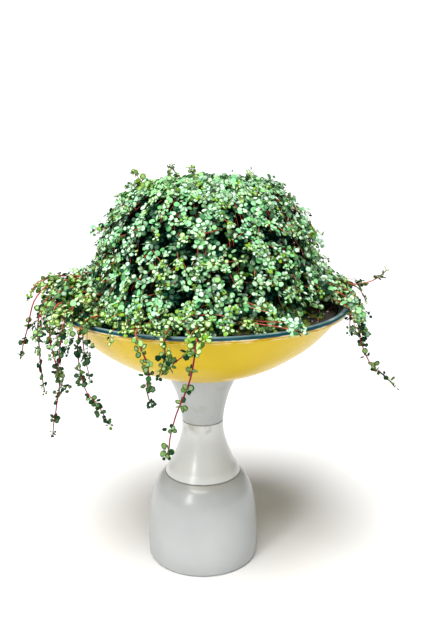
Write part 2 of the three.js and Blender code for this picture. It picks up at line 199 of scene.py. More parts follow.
class Field:
    """A smooth seeded field of bumps over the plane, from -1 to 1."""

    def __init__(self, seed, size=64):
        self.size = size
        self.values = np.random.default_rng(seed).uniform(-1, 1, (size, size))

    def at(self, x, y, wavelength):
        u, v = np.asarray(x) / wavelength, np.asarray(y) / wavelength
        i, j = np.floor(u).astype(int), np.floor(v).astype(int)
        fu, fv = u - i, v - j
        fu, fv = fu * fu * (3 - 2 * fu), fv * fv * (3 - 2 * fv)
        g, n = self.values, self.size
        low = lerp(g[i % n, j % n], g[(i + 1) % n, j % n], fu)
        high = lerp(g[i % n, (j + 1) % n], g[(i + 1) % n, (j + 1) % n], fu)
        return lerp(low, high, fv)


# ---------------------------------------------------------------- meshes

TURNED_SIDES = 160
# A direction in which no stem starts.
ASIDE = (0.31, 0.17, 0.93)


def in_scene(name, data):
    made = bpy.data.objects.new(name, data)
    bpy.context.scene.collection.objects.link(made)
    return made


def add_object(name, verts, faces, material, attributes=None, sharp=None):
    """A smooth mesh from points in millimetres and an array or list of faces. Edges past the angle
    `sharp` stay sharp."""
    mesh = bpy.data.meshes.new(name)
    faces = faces.tolist() if isinstance(faces, np.ndarray) else faces
    mesh.from_pydata((np.asarray(verts, float) * MM).tolist(), [], faces)
    mesh.polygons.foreach_set("use_smooth", np.ones(len(mesh.polygons), bool))
    if sharp is not None:
        mesh.set_sharp_from_angle(angle=math.radians(sharp))
    for key, values in (attributes or {}).items():
        made = mesh.attributes.new(key, "FLOAT_COLOR", "POINT")
        made.data.foreach_set("color", np.asarray(values, np.float32).ravel())
    mesh.materials.append(material)
    mesh.validate()
    return in_scene(name, mesh)


def settle(obj, slot, *nodes):
    """The piece rides on the part's one body and stands for its nodes. Its slot is not used."""
    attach(obj, "root")
    if nodes:
        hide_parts(*nodes)
    return obj


def walls(rows, sides):
    """Triangles of a closed tube: `rows` rings of points, then one point before the first ring and one
    past the last."""
    k = np.arange(sides)
    m = (k + 1) % sides
    start = np.arange(rows - 1)[:, None] * sides
    base, step = (start + k).ravel(), (start + m).ravel()
    tris = [np.column_stack([base, step, step + sides]), np.column_stack([base, step + sides, base + sides])]
    first, top = rows * sides, (rows - 1) * sides
    tris.append(np.column_stack([np.full(sides, first), m, k]))
    tris.append(np.column_stack([np.full(sides, first + 1), top + k, top + m]))
    return np.vstack(tris)


def turned(name, profile, material, sharp=35):
    """Turns a closed profile of (radius, height above the foot) round the axis."""
    angles = np.linspace(0, 2 * math.pi, TURNED_SIDES, endpoint=False)
    verts, rings = [], []
    for radius, height in profile:
        if radius < 1e-6:
            rings.append([len(verts)] * TURNED_SIDES)
            verts.append((0.0, 0.0, height))
        else:
            rings.append(list(range(len(verts), len(verts) + TURNED_SIDES)))
            verts += [(radius * math.sin(a), -radius * math.cos(a), height) for a in angles]
    faces = []
    for lower, upper in zip(rings, rings[1:] + rings[:1]):
        for k in range(TURNED_SIDES):
            m = (k + 1) % TURNED_SIDES
            corners = list(dict.fromkeys([lower[k], lower[m], upper[m], upper[k]]))
            if len(corners) > 2:
                faces.append(corners)
    return add_object(name, verts, faces, material, sharp=sharp)


def tube(line, radii, sides=5):
    """A closed tube along a line: points, triangles, and each point's share of the length."""
    along = tangents(line)
    side = np.cross(along[0], ASIDE)
    frames = []
    for t in along:
        side = side - side.dot(t) * t
        side = side / max(np.linalg.norm(side), 1e-9)
        frames.append((side, np.cross(t, side)))
    frames = np.array(frames)
    a = np.linspace(0, 2 * math.pi, sides, endpoint=False)
    ring = np.cos(a)[None, :, None] * frames[:, None, 0] + np.sin(a)[None, :, None] * frames[:, None, 1]
    verts = (line[:, None] + ring * np.asarray(radii)[:, None, None]).reshape(-1, 3)
    verts = np.vstack([verts, line[0] - along[0] * 0.1, line[-1] + along[-1] * radii[-1]])
    share = np.concatenate([np.repeat(np.linspace(0, 1, len(line)), sides), [0, 1]])
    return verts, walls(len(line), sides), share


def spikes(root, side, up, tip):
    """Three-sided spikes, each from three corners round its root to its tip. The tip lies the way that
    the cross product of `side` and `up` points."""
    verts = np.stack([root + side, root - 0.5 * side + up, root - 0.5 * side - up, tip], axis=1)
    tris = np.array([(0, 1, 3), (1, 2, 3), (2, 0, 3), (0, 2, 1)]) + 4 * np.arange(len(root))[:, None, None]
    return verts.reshape(-1, 3), tris.reshape(-1, 3)


def joined(parts):
    """Puts parts together, each with its points, triangles and values per point."""
    verts, tris, values = zip(*parts)
    starts = np.cumsum([0, *(len(v) for v in verts[:-1])])
    return np.vstack(verts), np.vstack([t + start for t, start in zip(tris, starts)]), np.vstack(values)


# ---------------------------------------------------------------- materials


def srgb(r, g, b):
    """A colour from 0 to 255 as linear light, with alpha."""
    values = [c / 255 for c in (r, g, b)]
    return (*[c / 12.92 if c <= 0.04045 else ((c + 0.055) / 1.055) ** 2.4 for c in values], 1.0)


class Nodes:
    """Builds one material's node tree, one call a node. Colours are given from 0 to 255."""

    def __init__(self, name):
        self.material = bpy.data.materials.new(name)
        self.material.use_nodes = True
        self.tree = self.material.node_tree
        self.shader = self.tree.nodes["Principled BSDF"]

    def put(self, socket, value):
        if isinstance(value, bpy.types.NodeSocket):
            self.tree.links.new(value, socket)
        else:
            socket.default_value = value

    def add(self, kind, inputs=None, **settings):
        """A node with its settings, and values or links for its sockets by name or number."""
        node = self.tree.nodes.new(kind)
        for key, value in settings.items():
            setattr(node, key, value)
        for key, value in (inputs or {}).items():
            self.put(node.inputs[key], value)
        return node

    def place(self):
        return self.add("ShaderNodeTexCoord").outputs["Object"]

    def axes(self):
        """X, Y and the height above the foot, in metres."""
        return self.add("ShaderNodeSeparateXYZ", {0: self.place()}).outputs

    def noise(self, scale, detail=3.0, rough=0.5):
        inputs = {"Vector": self.place(), "Scale": scale, "Detail": detail, "Roughness": rough}
        return self.add("ShaderNodeTexNoise", inputs).outputs["Fac"]

    def math(self, operation, a, b=0.0):
        return self.add("ShaderNodeMath", {0: a, 1: b}, operation=operation).outputs[0]

    def times(self, a, b):
        return self.math("MULTIPLY", a, b)

    def minus(self, a, b):
        return self.math("SUBTRACT", a, b)

    def centred(self, value, scale):
        """A value from 0 to 1 with its middle moved to 0, times a scale."""
        return self.times(self.minus(value, 0.5), scale)

    def length(self, a, b):
        """The length of the plane vector (a, b)."""
        return self.math("SQRT", self.math("ADD", self.times(a, a), self.times(b, b)))

    def span(self, value, low, high, to_low=0.0, to_high=1.0):
        """A smooth step from one number to the other, as the value goes from low to high."""
        inputs = {"Value": value, "From Min": low, "From Max": high, "To Min": to_low, "To Max": to_high}
        return self.add("ShaderNodeMapRange", inputs, interpolation_type="SMOOTHSTEP").outputs["Result"]

    def mix(self, amount, *colours):
        inputs = {6 + k: srgb(*c) if isinstance(c, tuple) else c for k, c in enumerate(colours)}
        return self.add("ShaderNodeMix", {0: amount, **inputs}, data_type="RGBA").outputs[2]

    def tint(self, value, low, high, *colours):
        """From one colour to the other, as the value goes from low to high."""
        return self.mix(self.span(value, low, high), *colours)

    def data(self, name):
        """The four numbers kept for each point: red, green, blue, alpha."""
        colour, _vector, _factor, alpha = self.add("ShaderNodeAttribute", attribute_name=name).outputs
        return [*self.add("ShaderNodeSeparateColor", {0: colour}).outputs, alpha]

    def finish(self, base, mottle, rough, relief, strength, distance, **inputs):
        """Ends a material: its colour, its roughness where `mottle` is low and where it is high, its
        relief, and fixed values for other sockets, with _ for a space."""
        bump = {"Height": relief, "Strength": strength, "Distance": distance}
        inputs.update(Base_Color=base, Roughness=self.span(mottle, 0.2, 0.8, *rough))
        inputs["Normal"] = self.add("ShaderNodeBump", bump).outputs["Normal"]
        for key, value in inputs.items():
            self.put(self.shader.inputs[key.replace("_", " ")], value)
        return self.material


def white_glaze():
    n = Nodes("white_glaze")
    z = n.axes()[2]
    cloud, fine = n.noise(9.0, 4, 0.55), n.noise(420.0, 2, 0.6)
    lower, upper = mm(LOWER_SEAM_Z, LOWER_SEAM_Z + 0.4), mm(UPPER_SEAM_Z, UPPER_SEAM_Z + GAP)
    base = n.tint(cloud, 0.35, 0.7, (168, 171, 171), (178, 181, 181))
    base = n.mix(n.span(fine, 0.62, 0.75, 0, 0.25), base, (178, 178, 172))
    # Painted light: the cone gets a lighter copy of the glaze, for the brighter light that falls on it.
    cone = n.times(n.span(z, *lower), n.span(z, *upper, 1, 0))
    base = n.mix(cone, base, n.tint(cloud, 0.35, 0.7, (206, 209, 208), (214, 216, 215)))
    # Painted shade: the neck, in the bowl's shade, gets a darker copy of the glaze.
    base = n.mix(n.span(z, *upper, 0, 0.6), base, (160, 164, 162))
    for seam in (LOWER_SEAM_Z, UPPER_SEAM_Z):
        away = n.math("ABSOLUTE", n.minus(z, (seam + GAP / 2) * MM))
        base = n.mix(n.span(away, *mm(0.3, 1.6), 0.5, 0), base, (120, 118, 110))
    stain = n.times(n.span(n.noise(38.0, 3, 0.6), 0.5, 0.68), n.span(z, *mm(158, 180), 0, 0.6))
    base = n.mix(stain, base, (150, 145, 130))
    coat = {"Coat_Weight": 0.35, "Coat_Roughness": 0.18}
    return n.finish(base, cloud, (0.3, 0.4), n.noise(34.0, 4, 0.5), 0.12, 0.0012, **coat)


# The line down the middle of the bowl's wall under the rim: radius = slope * height above the foot + middle.
WALL_SLOPE, WALL_MIDDLE = 0.822, -103.5


def yellow_glaze():
    """Yellow outside. The inner wall and the lip's top inside the band are dark."""
    n = Nodes("yellow_glaze")
    x, y, z = n.axes()
    radius = n.length(x, y)
    cloud = n.noise(7.0, 4, 0.55)
    base = n.tint(cloud, 0.3, 0.7, (199, 168, 6), (207, 176, 14))
    base = n.mix(n.span(z, *mm(240, 292), 0.5, 0), base, (190, 150, 40))
    base = n.mix(n.span(n.noise(520.0, 2, 0.5), 0.68, 0.76, 0, 0.35), base, (176, 122, 30))
    # Painted highlight with some wear: the lip's edge under the band is paler.
    wear_and_highlight = n.times(n.span(z, *mm(329, 329.6), 0, 0.6), n.span(n.noise(60.0, 3, 0.6), 0.35, 0.6))
    base = n.mix(wear_and_highlight, base, (236, 222, 176))
    lip = n.times(n.span(radius, *mm(173.5, 174.5), 1, 0), n.span(z, *mm(330.2, 330.6)))
    wall = n.span(n.minus(radius, n.times(z, WALL_SLOPE)), *mm(WALL_MIDDLE - 0.5, WALL_MIDDLE + 0.5), 1, 0)
    inside = n.math("MAXIMUM", lip, n.times(wall, n.span(z, *mm(318, 322))))
    base = n.mix(inside, base, n.tint(n.noise(90.0, 3, 0.6), 0.35, 0.65, (14, 40, 42), (46, 38, 26)))
    relief = n.noise(22.0, 3, 0.5)
    return n.finish(base, cloud, (0.22, 0.3), relief, 0.1, 0.0015, Specular_IOR_Level=0.16)


def teal_glaze():
    """Dark blue-green, paler on top with wear and a painted highlight, with a bare clay line and a yellow
    one at its base.
    """
    n = Nodes("teal_glaze")
    z = n.axes()[2]
    cloud = n.noise(45.0, 3, 0.6)
    top, foot = RIM_Z + BAND_TOP, RIM_Z + BAND_BASE
    base = n.tint(cloud, 0.3, 0.7, (2, 50, 56), (8, 68, 74))
    # Painted highlight with some wear: the band's top edge is paler.
    wear_and_highlight = n.span(n.noise(30.0, 4, 0.6), 0.35, 0.7, 0.25, 0.8)
    base = n.mix(n.times(n.span(z, *mm(top - 1.1, top - 0.2)), wear_and_highlight), base, (150, 172, 172))
    clay = n.tint(n.noise(55.0, 3, 0.6), 0.4, 0.6, (214, 204, 186), (132, 96, 62))
    base = n.mix(n.span(z, *mm(foot + 1.8, foot + 2.2), 1, 0), base, clay)
    base = n.mix(n.span(z, *mm(foot + 0.7, foot + 1.1), 1, 0), base, (222, 186, 24))
    return n.finish(base, cloud, (0.25, 0.36), cloud, 0.1, 0.0008, Specular_IOR_Level=0.18)


def soil_material():
    n = Nodes("soil")
    coarse, fine = n.noise(75.0, 5, 0.7), n.noise(420.0, 4, 0.7)
    base = n.tint(coarse, 0.35, 0.7, (20, 15, 12), (52, 39, 29))
    base = n.mix(n.span(fine, 0.55, 0.75, 0, 0.6), base, (86, 64, 46))
    base = n.mix(n.span(n.noise(34.0, 3, 0.6), 0.54, 0.66, 0, 0.7), base, (84, 92, 32))
    return n.finish(base, fine, (0.8, 0.98), fine, 0.6, 0.0012)


def mottled(name, scale, margin, colours, rough, grain, strength, distance):
    """A rough material of two colours, for the small things on the soil."""
    n = Nodes(name)
    coarse = n.noise(scale, 3, 0.6)
    base = n.tint(coarse, margin, 1 - margin, *colours)
    return n.finish(base, coarse, rough, n.noise(grain), strength, distance)


def stem_material():
    """Point data "stem": share of the length, random, how much shade is painted on it, how crimson it is."""
    n = Nodes("stem")
    share, chance, painted_shade, crimson = n.data("stem")
    mottle = n.noise(260.0, 3, 0.6)
    base = n.tint(mottle, 0.3, 0.7, (168, 44, 40), (208, 90, 66))
    base = n.mix(n.times(chance, 0.55), base, (214, 136, 104))
    base = n.mix(crimson, base, n.tint(mottle, 0.3, 0.7, (116, 12, 38), (160, 30, 62)))
    base = n.mix(n.span(share, 0.88, 1.0, 0, 0.75), base, (104, 132, 56))
    # Painted shade: stems darken as their painted shade grows, most deep in the mound and in its hollows.
    base = n.mix(n.span(painted_shade, 0.0, 0.4, 0, 0.85), base, (44, 18, 18))
    base = n.mix(n.span(painted_shade, 0.3, 0.8, 0, 0.96), base, (8, 20, 18))
    return n.finish(base, mottle, (0.35, 0.5), n.noise(1500.0), 0.2, 0.0002, Specular_IOR_Level=0.1)


# A leaf is dull in the first half of each of its random number's cycles.
DULL_CYCLES = 5.7


def leaf_material(name, specular):
    """Point data "leaf": random, how much shade is painted on it, kind (0 silver, 0.6 green, 1 young and
    yellow-green) and side (0 above, 1 below). Point data "blade": place on the blade from -1 to 1, kept as 0
    to 1, with the stalk at the low end of the first and the midrib along it."""
    n = Nodes(name)
    chance, painted_shade, kind, under = n.data("leaf")
    along, across = n.data("blade")[:2]
    along, across = n.centred(along, 2.0), n.math("ABSOLUTE", n.centred(across, 2.0))
    mottle, blotch = n.noise(620.0, 3, 0.65), n.noise(230.0, 2, 0.5)
    greener = n.span(kind, 0.0, 0.6)

    lateral = n.math("ABSOLUTE", n.minus(n.length(along, n.times(across, 2.0)), 1.0))
    veins = n.math("MAXIMUM", n.span(across, 0.02, 0.12, 1, 0), n.span(lateral, 0.05, 0.2, 1, 0))
    edge = n.length(along, across)
    for shift in (n.centred(mottle, 0.5), n.centred(chance, 0.3), n.times(greener, 0.25)):
        edge = n.math("ADD", edge, shift)
    rim_and_veins = n.math("MAXIMUM", n.span(edge, 0.68, 1.02), n.times(veins, 0.45))

    green = n.tint(blotch, 0.3, 0.7, (0, 78, 24), (24, 124, 44))
    green = n.mix(greener, green, n.tint(blotch, 0.3, 0.7, (34, 72, 2), (104, 144, 18)))
    silver = n.tint(chance, 0.0, 1.0, (134, 218, 144), (238, 255, 240))
    silver = n.mix(n.span(mottle, 0.6, 0.8, 0, 0.5), silver, (96, 172, 104))
    silver = n.mix(n.times(greener, 0.75), silver, (214, 238, 140))
    dull = n.span(n.math("FRACT", n.times(chance, DULL_CYCLES)), 0.0, 0.5, 0.6, 0)
    base = n.mix(rim_and_veins, n.mix(dull, silver, (16, 124, 52)), green)
    young = n.tint(mottle, 0.3, 0.7, (80, 132, 14), (142, 184, 56))
    base = n.mix(n.span(kind, 0.66, 0.95), base, young)
    base = n.mix(under, base, n.mix(greener, (46, 118, 50), (52, 90, 14)))
    # Painted shade: leaves deep in the mound, in its hollows, below the rim and a random share of others
    # turn dark green, then near black.
    shaded = n.mix(greener, (0, 68, 38), (14, 50, 6))
    base = n.mix(n.span(painted_shade, 0.0, 0.5, 0, 0.82), base, shaded)
    base = n.mix(n.span(painted_shade, 0.35, 0.95, 0, 0.95), base, (5, 42, 32))
    relief = n.minus(mottle, n.times(veins, 0.6))
    return n.finish(base, mottle, (0.34, 0.5), relief, 0.3, 0.0003, Specular_IOR_Level=specular)


def floor_material():
    n = Nodes("floor")
    base = n.tint(n.noise(1.3, 2, 0.5), 0.2, 0.8, (224, 224, 223), (230, 230, 229))
    n.put(n.shader.inputs["Base Color"], base)
    n.put(n.shader.inputs["Roughness"], 0.85)
    return n.material


# ---------------------------------------------------------------- pedestal, bowl and band


def inset(profile, distance):
    """A profile of (radius, height) moved in by a distance."""
    p = np.asarray(profile, float)
    d = unit(np.gradient(p, axis=0))
    moved = p + distance * np.column_stack([-d[:, 1], d[:, 0]])
    moved[0, 0] = max(moved[0, 0], 0.0) if p[0, 0] > 0 else 0.0
    return moved


def smooth_profile(points):
    return [tuple(p) for p in spline(points, 6)]


def bowl_outer():
    """The bowl's outer face from its middle to its lip, above the rim plane."""
    mirrored = [(-BOWL[1][0], BOWL[1][1]), *BOWL]
    line = spline(mirrored, 8)[8:]
    line[0, 0] = 0.0
    return line


def under_bowl(radius):
    line = bowl_outer()
    return RIM_Z - GAP + float(np.interp(radius, line[:, 0], line[:, 1]))


def spigot(radius, seam):
    """The start of a pedestal piece's profile: the spigot that stands in the piece below."""
    return [(0, seam - SPIGOT_DEPTH), (radius, seam - SPIGOT_DEPTH), (radius, seam + GAP)]


def socket(radius, seam):
    """The end of a pedestal piece's profile: the socket for the piece above."""
    floor = seam - SPIGOT_DEPTH - GAP
    return [(radius + GAP, seam), (radius + GAP, floor), (0, floor)]


def make_pedestal():
    glaze = white_glaze()
    low, high = LOWER_SEAM_Z, UPPER_SEAM_Z
    rounded_foot = [(0, 0), (64, 0), (67, 0.4), (69.2, 1.6), (70.2, 3.6)]
    dome = [*rounded_foot, *smooth_profile(DOME)[:-1], (48.6, low - 0.5), (47.6, low)]
    dome += socket(DOME_SPIGOT_R, low)
    cone = [*spigot(DOME_SPIGOT_R, low), (47.2, low + GAP), (47.8, low + 0.9), *smooth_profile(CONE)[1:-1]]
    cone += [(25.9, high - 0.5), (25.4, high), *socket(NECK_SPIGOT_R, high)]
    neck = [*spigot(NECK_SPIGOT_R, high), (25.4, high + GAP), (25.9, high + 0.9), *smooth_profile(NECK)[1:]]
    neck += [(r, under_bowl(r)) for r in (SEAT_R, 40, 34, 28, 22, 16, 8, 0)]
    for name, profile in (("dome", dome), ("cone", cone), ("neck", neck)):
        settle(turned(name + "_glazed", profile, glaze), "white_glaze", "pedestal_" + name)


def make_bowl():
    outer = bowl_outer()
    inner = inset(outer, BOWL_WALL)[::-3]
    inner = [(max(r, 0.0), z) for r, z in inner if z < BAND_BASE - GAP - 0.6]
    inner[-1] = (0.0, inner[-1][1])
    top, base = BAND_BASE - GAP, BAND_BASE - GAP - LIP_THICK
    lip = [(BOWL_R - 3.4, base), (BOWL_R - 0.6, base), (BOWL_R, base + 0.5)]
    lip += [(BOWL_R, top - 0.4), (BOWL_R - 0.4, top), (BOWL[-1][0] - 3.2, top)]
    bowl = [(r, RIM_Z + z) for r, z in [*outer, *lip, *inner]]
    settle(turned("bowl_glazed", bowl, yellow_glaze()), "yellow_glaze", "bowl")

    inside = BAND_R - BAND_WIDTH
    band = [
        (inside, BAND_BASE), (BAND_R - 0.5, BAND_BASE), (BAND_R + 0.2, BAND_BASE + 0.6),
        (BAND_R + 0.6, -0.5), (BAND_R + 0.3, 0.8), (BAND_R - 0.8, BAND_TOP - 0.6),
        (BAND_R - 2, BAND_TOP - 0.1), (BAND_R - 3.2, BAND_TOP), (BAND_R - 4.8, BAND_TOP - 0.3),
        (inside + 0.3, BAND_TOP - 1), (inside, BAND_TOP - 1.6),
    ]
    band = [(r, RIM_Z + z) for r, z in band]
    settle(turned("band_glazed", band, teal_glaze(), 50), "teal_glaze", "rim_band")


# ---------------------------------------------------------------- soil and what lies on it

ground = Field(SEED + 1)
SOIL_SIDES, SOIL_RINGS = 200, 60
# How many there are of each.
GRIT, TWIGS, MOSS_CUSHIONS = 260, 54, 120
# The radius past which no twig reaches.
TWIG_LIMIT = 158


def ground_height(x, y):
    """Height of the lumpy soil above the rim plane."""
    r = np.hypot(x, y)
    lumps = 1.3 * ground.at(x, y, 17) + 0.9 * ground.at(x + 40, y, 7) + 0.5 * ground.at(x, y + 70, 3)
    return soil_top(r) + lumps * smoothstep(SOIL_R, SOIL_R - 8, r)


def make_soil():
    """One body of rings: up along the bowl's inner wall, then in over the lumpy top."""
    under = inset(bowl_outer(), BOWL_WALL + GAP + 0.4)
    under = under[(under[:, 1] < -9) & (under[:, 0] > 12)][::5]
    radii = np.concatenate([under[:, 0], np.linspace(SOIL_R, SOIL_R / SOIL_RINGS, SOIL_RINGS)])
    r, angle = np.meshgrid(radii, np.linspace(0, 2 * math.pi, SOIL_SIDES, endpoint=False), indexing="ij")
    x, y = r * np.sin(angle), -r * np.cos(angle)
    verts = np.stack([x, y, RIM_Z + ground_height(x, y)], axis=-1)
    verts[: len(under), :, 2] = under[:, 1:] + RIM_Z
    ends = [[0, 0, under[0, 1] + RIM_Z], [0, 0, RIM_Z + float(ground_height(0.0, 0.0))]]
    verts = np.vstack([verts.reshape(-1, 3), ends])
    tris = walls(len(radii), SOIL_SIDES)
    settle(add_object("soil_surface", verts, tris, soil_material()), "soil", "soil")


def icosahedron():
    g = (1 + 5**0.5) / 2
    v = [(-1, g, 0), (1, g, 0), (-1, -g, 0), (1, -g, 0), (0, -1, g), (0, 1, g)]
    v += [(0, -1, -g), (0, 1, -g), (g, 0, -1), (g, 0, 1), (-g, 0, -1), (-g, 0, 1)]
    f = [(0, 11, 5), (0, 5, 1), (0, 1, 7), (0, 7, 10), (0, 10, 11), (1, 5, 9), (5, 11, 4), (11, 10, 2)]
    f += [(10, 7, 6), (7, 1, 8), (3, 9, 4), (3, 4, 2), (3, 2, 6), (3, 6, 8), (3, 8, 9), (4, 9, 5)]
    f += [(2, 4, 11), (6, 2, 10), (8, 6, 7), (9, 8, 1)]
    return unit(np.array(v, float)), np.array(f)


def on_soil(azimuth, radius):
    p = around(radius, azimuth, 0.0)
    p[..., 2] = RIM_Z + ground_height(p[..., 0], p[..., 1])
    return p


def lay_on_soil(name, parts, material, sharp=None):
    """One piece from many small parts, each of points and triangles."""
    verts, tris, _ = joined([(v, f, np.zeros((len(v), 1))) for v, f in parts])
    settle(add_object(name, verts, tris, material, sharp=sharp), "")


def make_grit(rng):
    ball, faces = icosahedron()
    parts = []
    for _ in range(GRIT):
        p = on_soil(rng.uniform(-180, 180), rng.uniform(96, 160))
        size = rng.uniform(0.7, 1.8) * np.array([1, rng.uniform(0.6, 1), rng.uniform(0.5, 0.9)])
        shape = ball * rng.uniform(0.75, 1.15, (12, 1)) * size
        parts.append((shape + p + [0, 0, 0.2 * size[2]], faces))
    colours = (150, 140, 122), (222, 218, 206)
    look = mottled("grit", 160.0, 0.35, colours, (0.7, 0.9), 900.0, 0.4, 0.0004)
    lay_on_soil("soil_grit", parts, look, 30)


def make_twigs(rng):
    parts = []
    for _ in range(TWIGS):
        start = on_soil(rng.uniform(-180, 180), rng.uniform(100, 154))
        heading = rng.uniform(0, 2 * math.pi)
        length = rng.uniform(9, 30)
        t = np.linspace(0, 1, 7)
        bend = rng.uniform(-0.6, 0.6)
        x = start[0] + length * t * np.cos(heading + bend * t)
        y = start[1] + length * t * np.sin(heading + bend * t)
        pull = np.minimum(1, TWIG_LIMIT / np.maximum(np.hypot(x, y), 1e-6))
        x, y = x * pull, y * pull
        line = np.column_stack([x, y, RIM_Z + ground_height(x, y) + 0.8 + rng.uniform(0, 1.5) * t])
        parts.append(tube(line, lerp(0.75, 0.4, t) * rng.uniform(0.7, 1.1))[:2])
    colours = (96, 52, 28), (176, 104, 58)
    lay_on_soil("soil_twigs", parts, mottled("twig", 200.0, 0.3, colours, (0.6, 0.85), 1200.0, 0.4, 0.0003))


def make_moss(rng):
    """Cushions of moss: low domes, each with many short blades that stand out of it."""
    cushions, blades = [], []
    ball, faces = icosahedron()
    for _ in range(MOSS_CUSHIONS):
        azimuth = rng.choice([rng.uniform(8, 62), rng.uniform(-112, -52), rng.uniform(-180, 180)])
        centre = on_soil(azimuth, rng.uniform(118, 158))
        wide, high = rng.uniform(2.6, 6.5), rng.uniform(1.4, 3.2)
        shape = ball * rng.uniform(0.8, 1.12, (12, 1)) * [wide, wide * rng.uniform(0.7, 1), high]
        cushions.append((shape + centre, faces))
        count = int(9 * wide)
        a, lean = rng.uniform(0, 2 * math.pi, count), np.sqrt(rng.uniform(0, 1, count)) * 1.35
        out = np.column_stack([np.sin(lean) * np.cos(a), np.sin(lean) * np.sin(a), np.cos(lean)])
        root = centre + out * [wide * 0.85, wide * 0.75, high * 0.85]
        tip = root + out * rng.uniform(0.9, 2.2, (count, 1)) + rng.normal(0, 0.35, (count, 3))
        side = unit(np.cross(out, rng.normal(0, 1, (count, 3)))) * 0.32
        blades.append(spikes(root, side, np.cross(unit(out), side), tip))
    moss = mottled("moss", 120.0, 0.3, ((56, 74, 20), (126, 136, 44)), (0.75, 0.95), 700.0, 0.5, 0.0006)
    lay_on_soil("moss_cushions", cushions, moss)
    lay_on_soil("moss_blades", blades, moss)


# ---------------------------------------------------------------- leaves and stems

# Degrees from one to the next, for leaves round a stem and stems round the mound.
GOLDEN_ANGLE = 137.508
# Sides of a leaf in view and of one inside the mound, and the painted shade at which the second kind starts.
LEAF_SIDES, INNER_LEAF_SIDES, INNER_SHADE = 10, 6, 0.4
# Angle in degrees past which an edge is sharp: only a leaf's margin is.
MARGIN_ANGLE = 60
# Radii of stems and stalks: a trailing stem, its side stem, a single stem, a shoot, a leaf's stalk.
TRAIL_R, SIDE_R, SINGLE_R, SHOOT_R, STALK_R = 0.95, 0.75, 0.62, 0.34, 0.25


def leaf_template(sides):
    """A round shallow dome of radius 1 with a closed underside, notched at its stalk: points,
    triangles, and each point's side (0 above, 1 below)."""
    a = np.linspace(0, 2 * math.pi, sides, endpoint=False)
    notch = 1 - 0.14 * np.exp(-(((a - math.pi) / 0.4) ** 2))
    rim = np.column_stack([np.cos(a) * notch, np.sin(a) * notch, np.zeros(sides)])
    verts = np.vstack([[0, 0, 1], rim, [0, 0, 0.4]])
    k = np.arange(sides)
    m = (k + 1) % sides
    top, below = np.zeros(sides, int), np.full(sides, sides + 1)
    tris = np.vstack([np.column_stack([top, 1 + k, 1 + m]), np.column_stack([below, 1 + m, 1 + k])])
    return verts, tris, np.append(np.zeros(sides + 1), 1)


class Growth:
    """The stems and leaves of one CAD node."""

    def __init__(self):
        self.stems, self.leaves = [], []


def grow_stem(growth, rng, line, radius, painted_shade, crimson=0.0):
    """Adds one stem along a line. `painted_shade` is how much shade is painted on it, most where it lies
    deep inside the mound, and `crimson` how red it is below the rim, both 0 to 1."""
    inner = np.median(painted_shade) > INNER_SHADE
    step = resampled(np.column_stack([line, painted_shade]), 14.0 if inner else 7.0)
    line, painted_shade = step[:, :3], step[:, 3]
    crimson = crimson * smoothstep(14, -14, line[:, 2] - RIM_Z)
    sides = 3 if inner else 4
    verts, tris, share = tube(line, radius * np.linspace(1.15, 0.7, len(line)), sides)
    values = np.zeros((len(verts), 4))
    values[:, 0] = share
    values[:, 1] = rng.uniform()
    for column, data in ((2, painted_shade), (3, crimson)):
        values[:-2, column] = np.repeat(data, sides)
        values[-2:, column] = data[[0, -1]]
    growth.stems.append((verts, tris, values))


def grow_stalks(growth, root, tip, normal, chance, painted_shade, thick):
    """A thin three-sided stalk from each root to its tip."""
    side = unit(np.cross(tip - root, normal)) * thick
    values = np.zeros((len(root), 4, 4))
    values[..., 0] = 1.0
    values[..., 1] = chance[:, None]
    values[..., 2] = painted_shade[:, None]
    growth.stems.append((*spikes(root, side, -0.85 * thick * normal, tip), values.reshape(-1, 4)))


# How leaves grow on a stem: distance between clusters, leaves in one, length of its shoot, leaf radius,
# kind (0 silver to 0.6 green), share of young clusters, share of clusters left out, how far the stem
# lies inside of its leaves, share of leaves that are always bright, pull upwards, scatter of the leaves'
# and of the clusters' directions, extra painted shade, share of single leaves with painted shade, how much
# painted shade leaves get below the rim, which leaves are kept, and the mound's profile under which their
# depth, and so their painted shade, is measured.
LOOKS = dict(
    pitch=12.0, leaves=(4, 7), shoot=(1.0, 9.0), radius=(2.85, 3.45), kind=(0.0, 0.2), young=0.02, skip=0.06,
    sunk=0.0, bright=0.22, flat=0.42, scatter=0.55, turn=0.0, shade=(0.0, 0.1), dim=0.17, hanging=0.0,
    clear=None, surface=None,
)


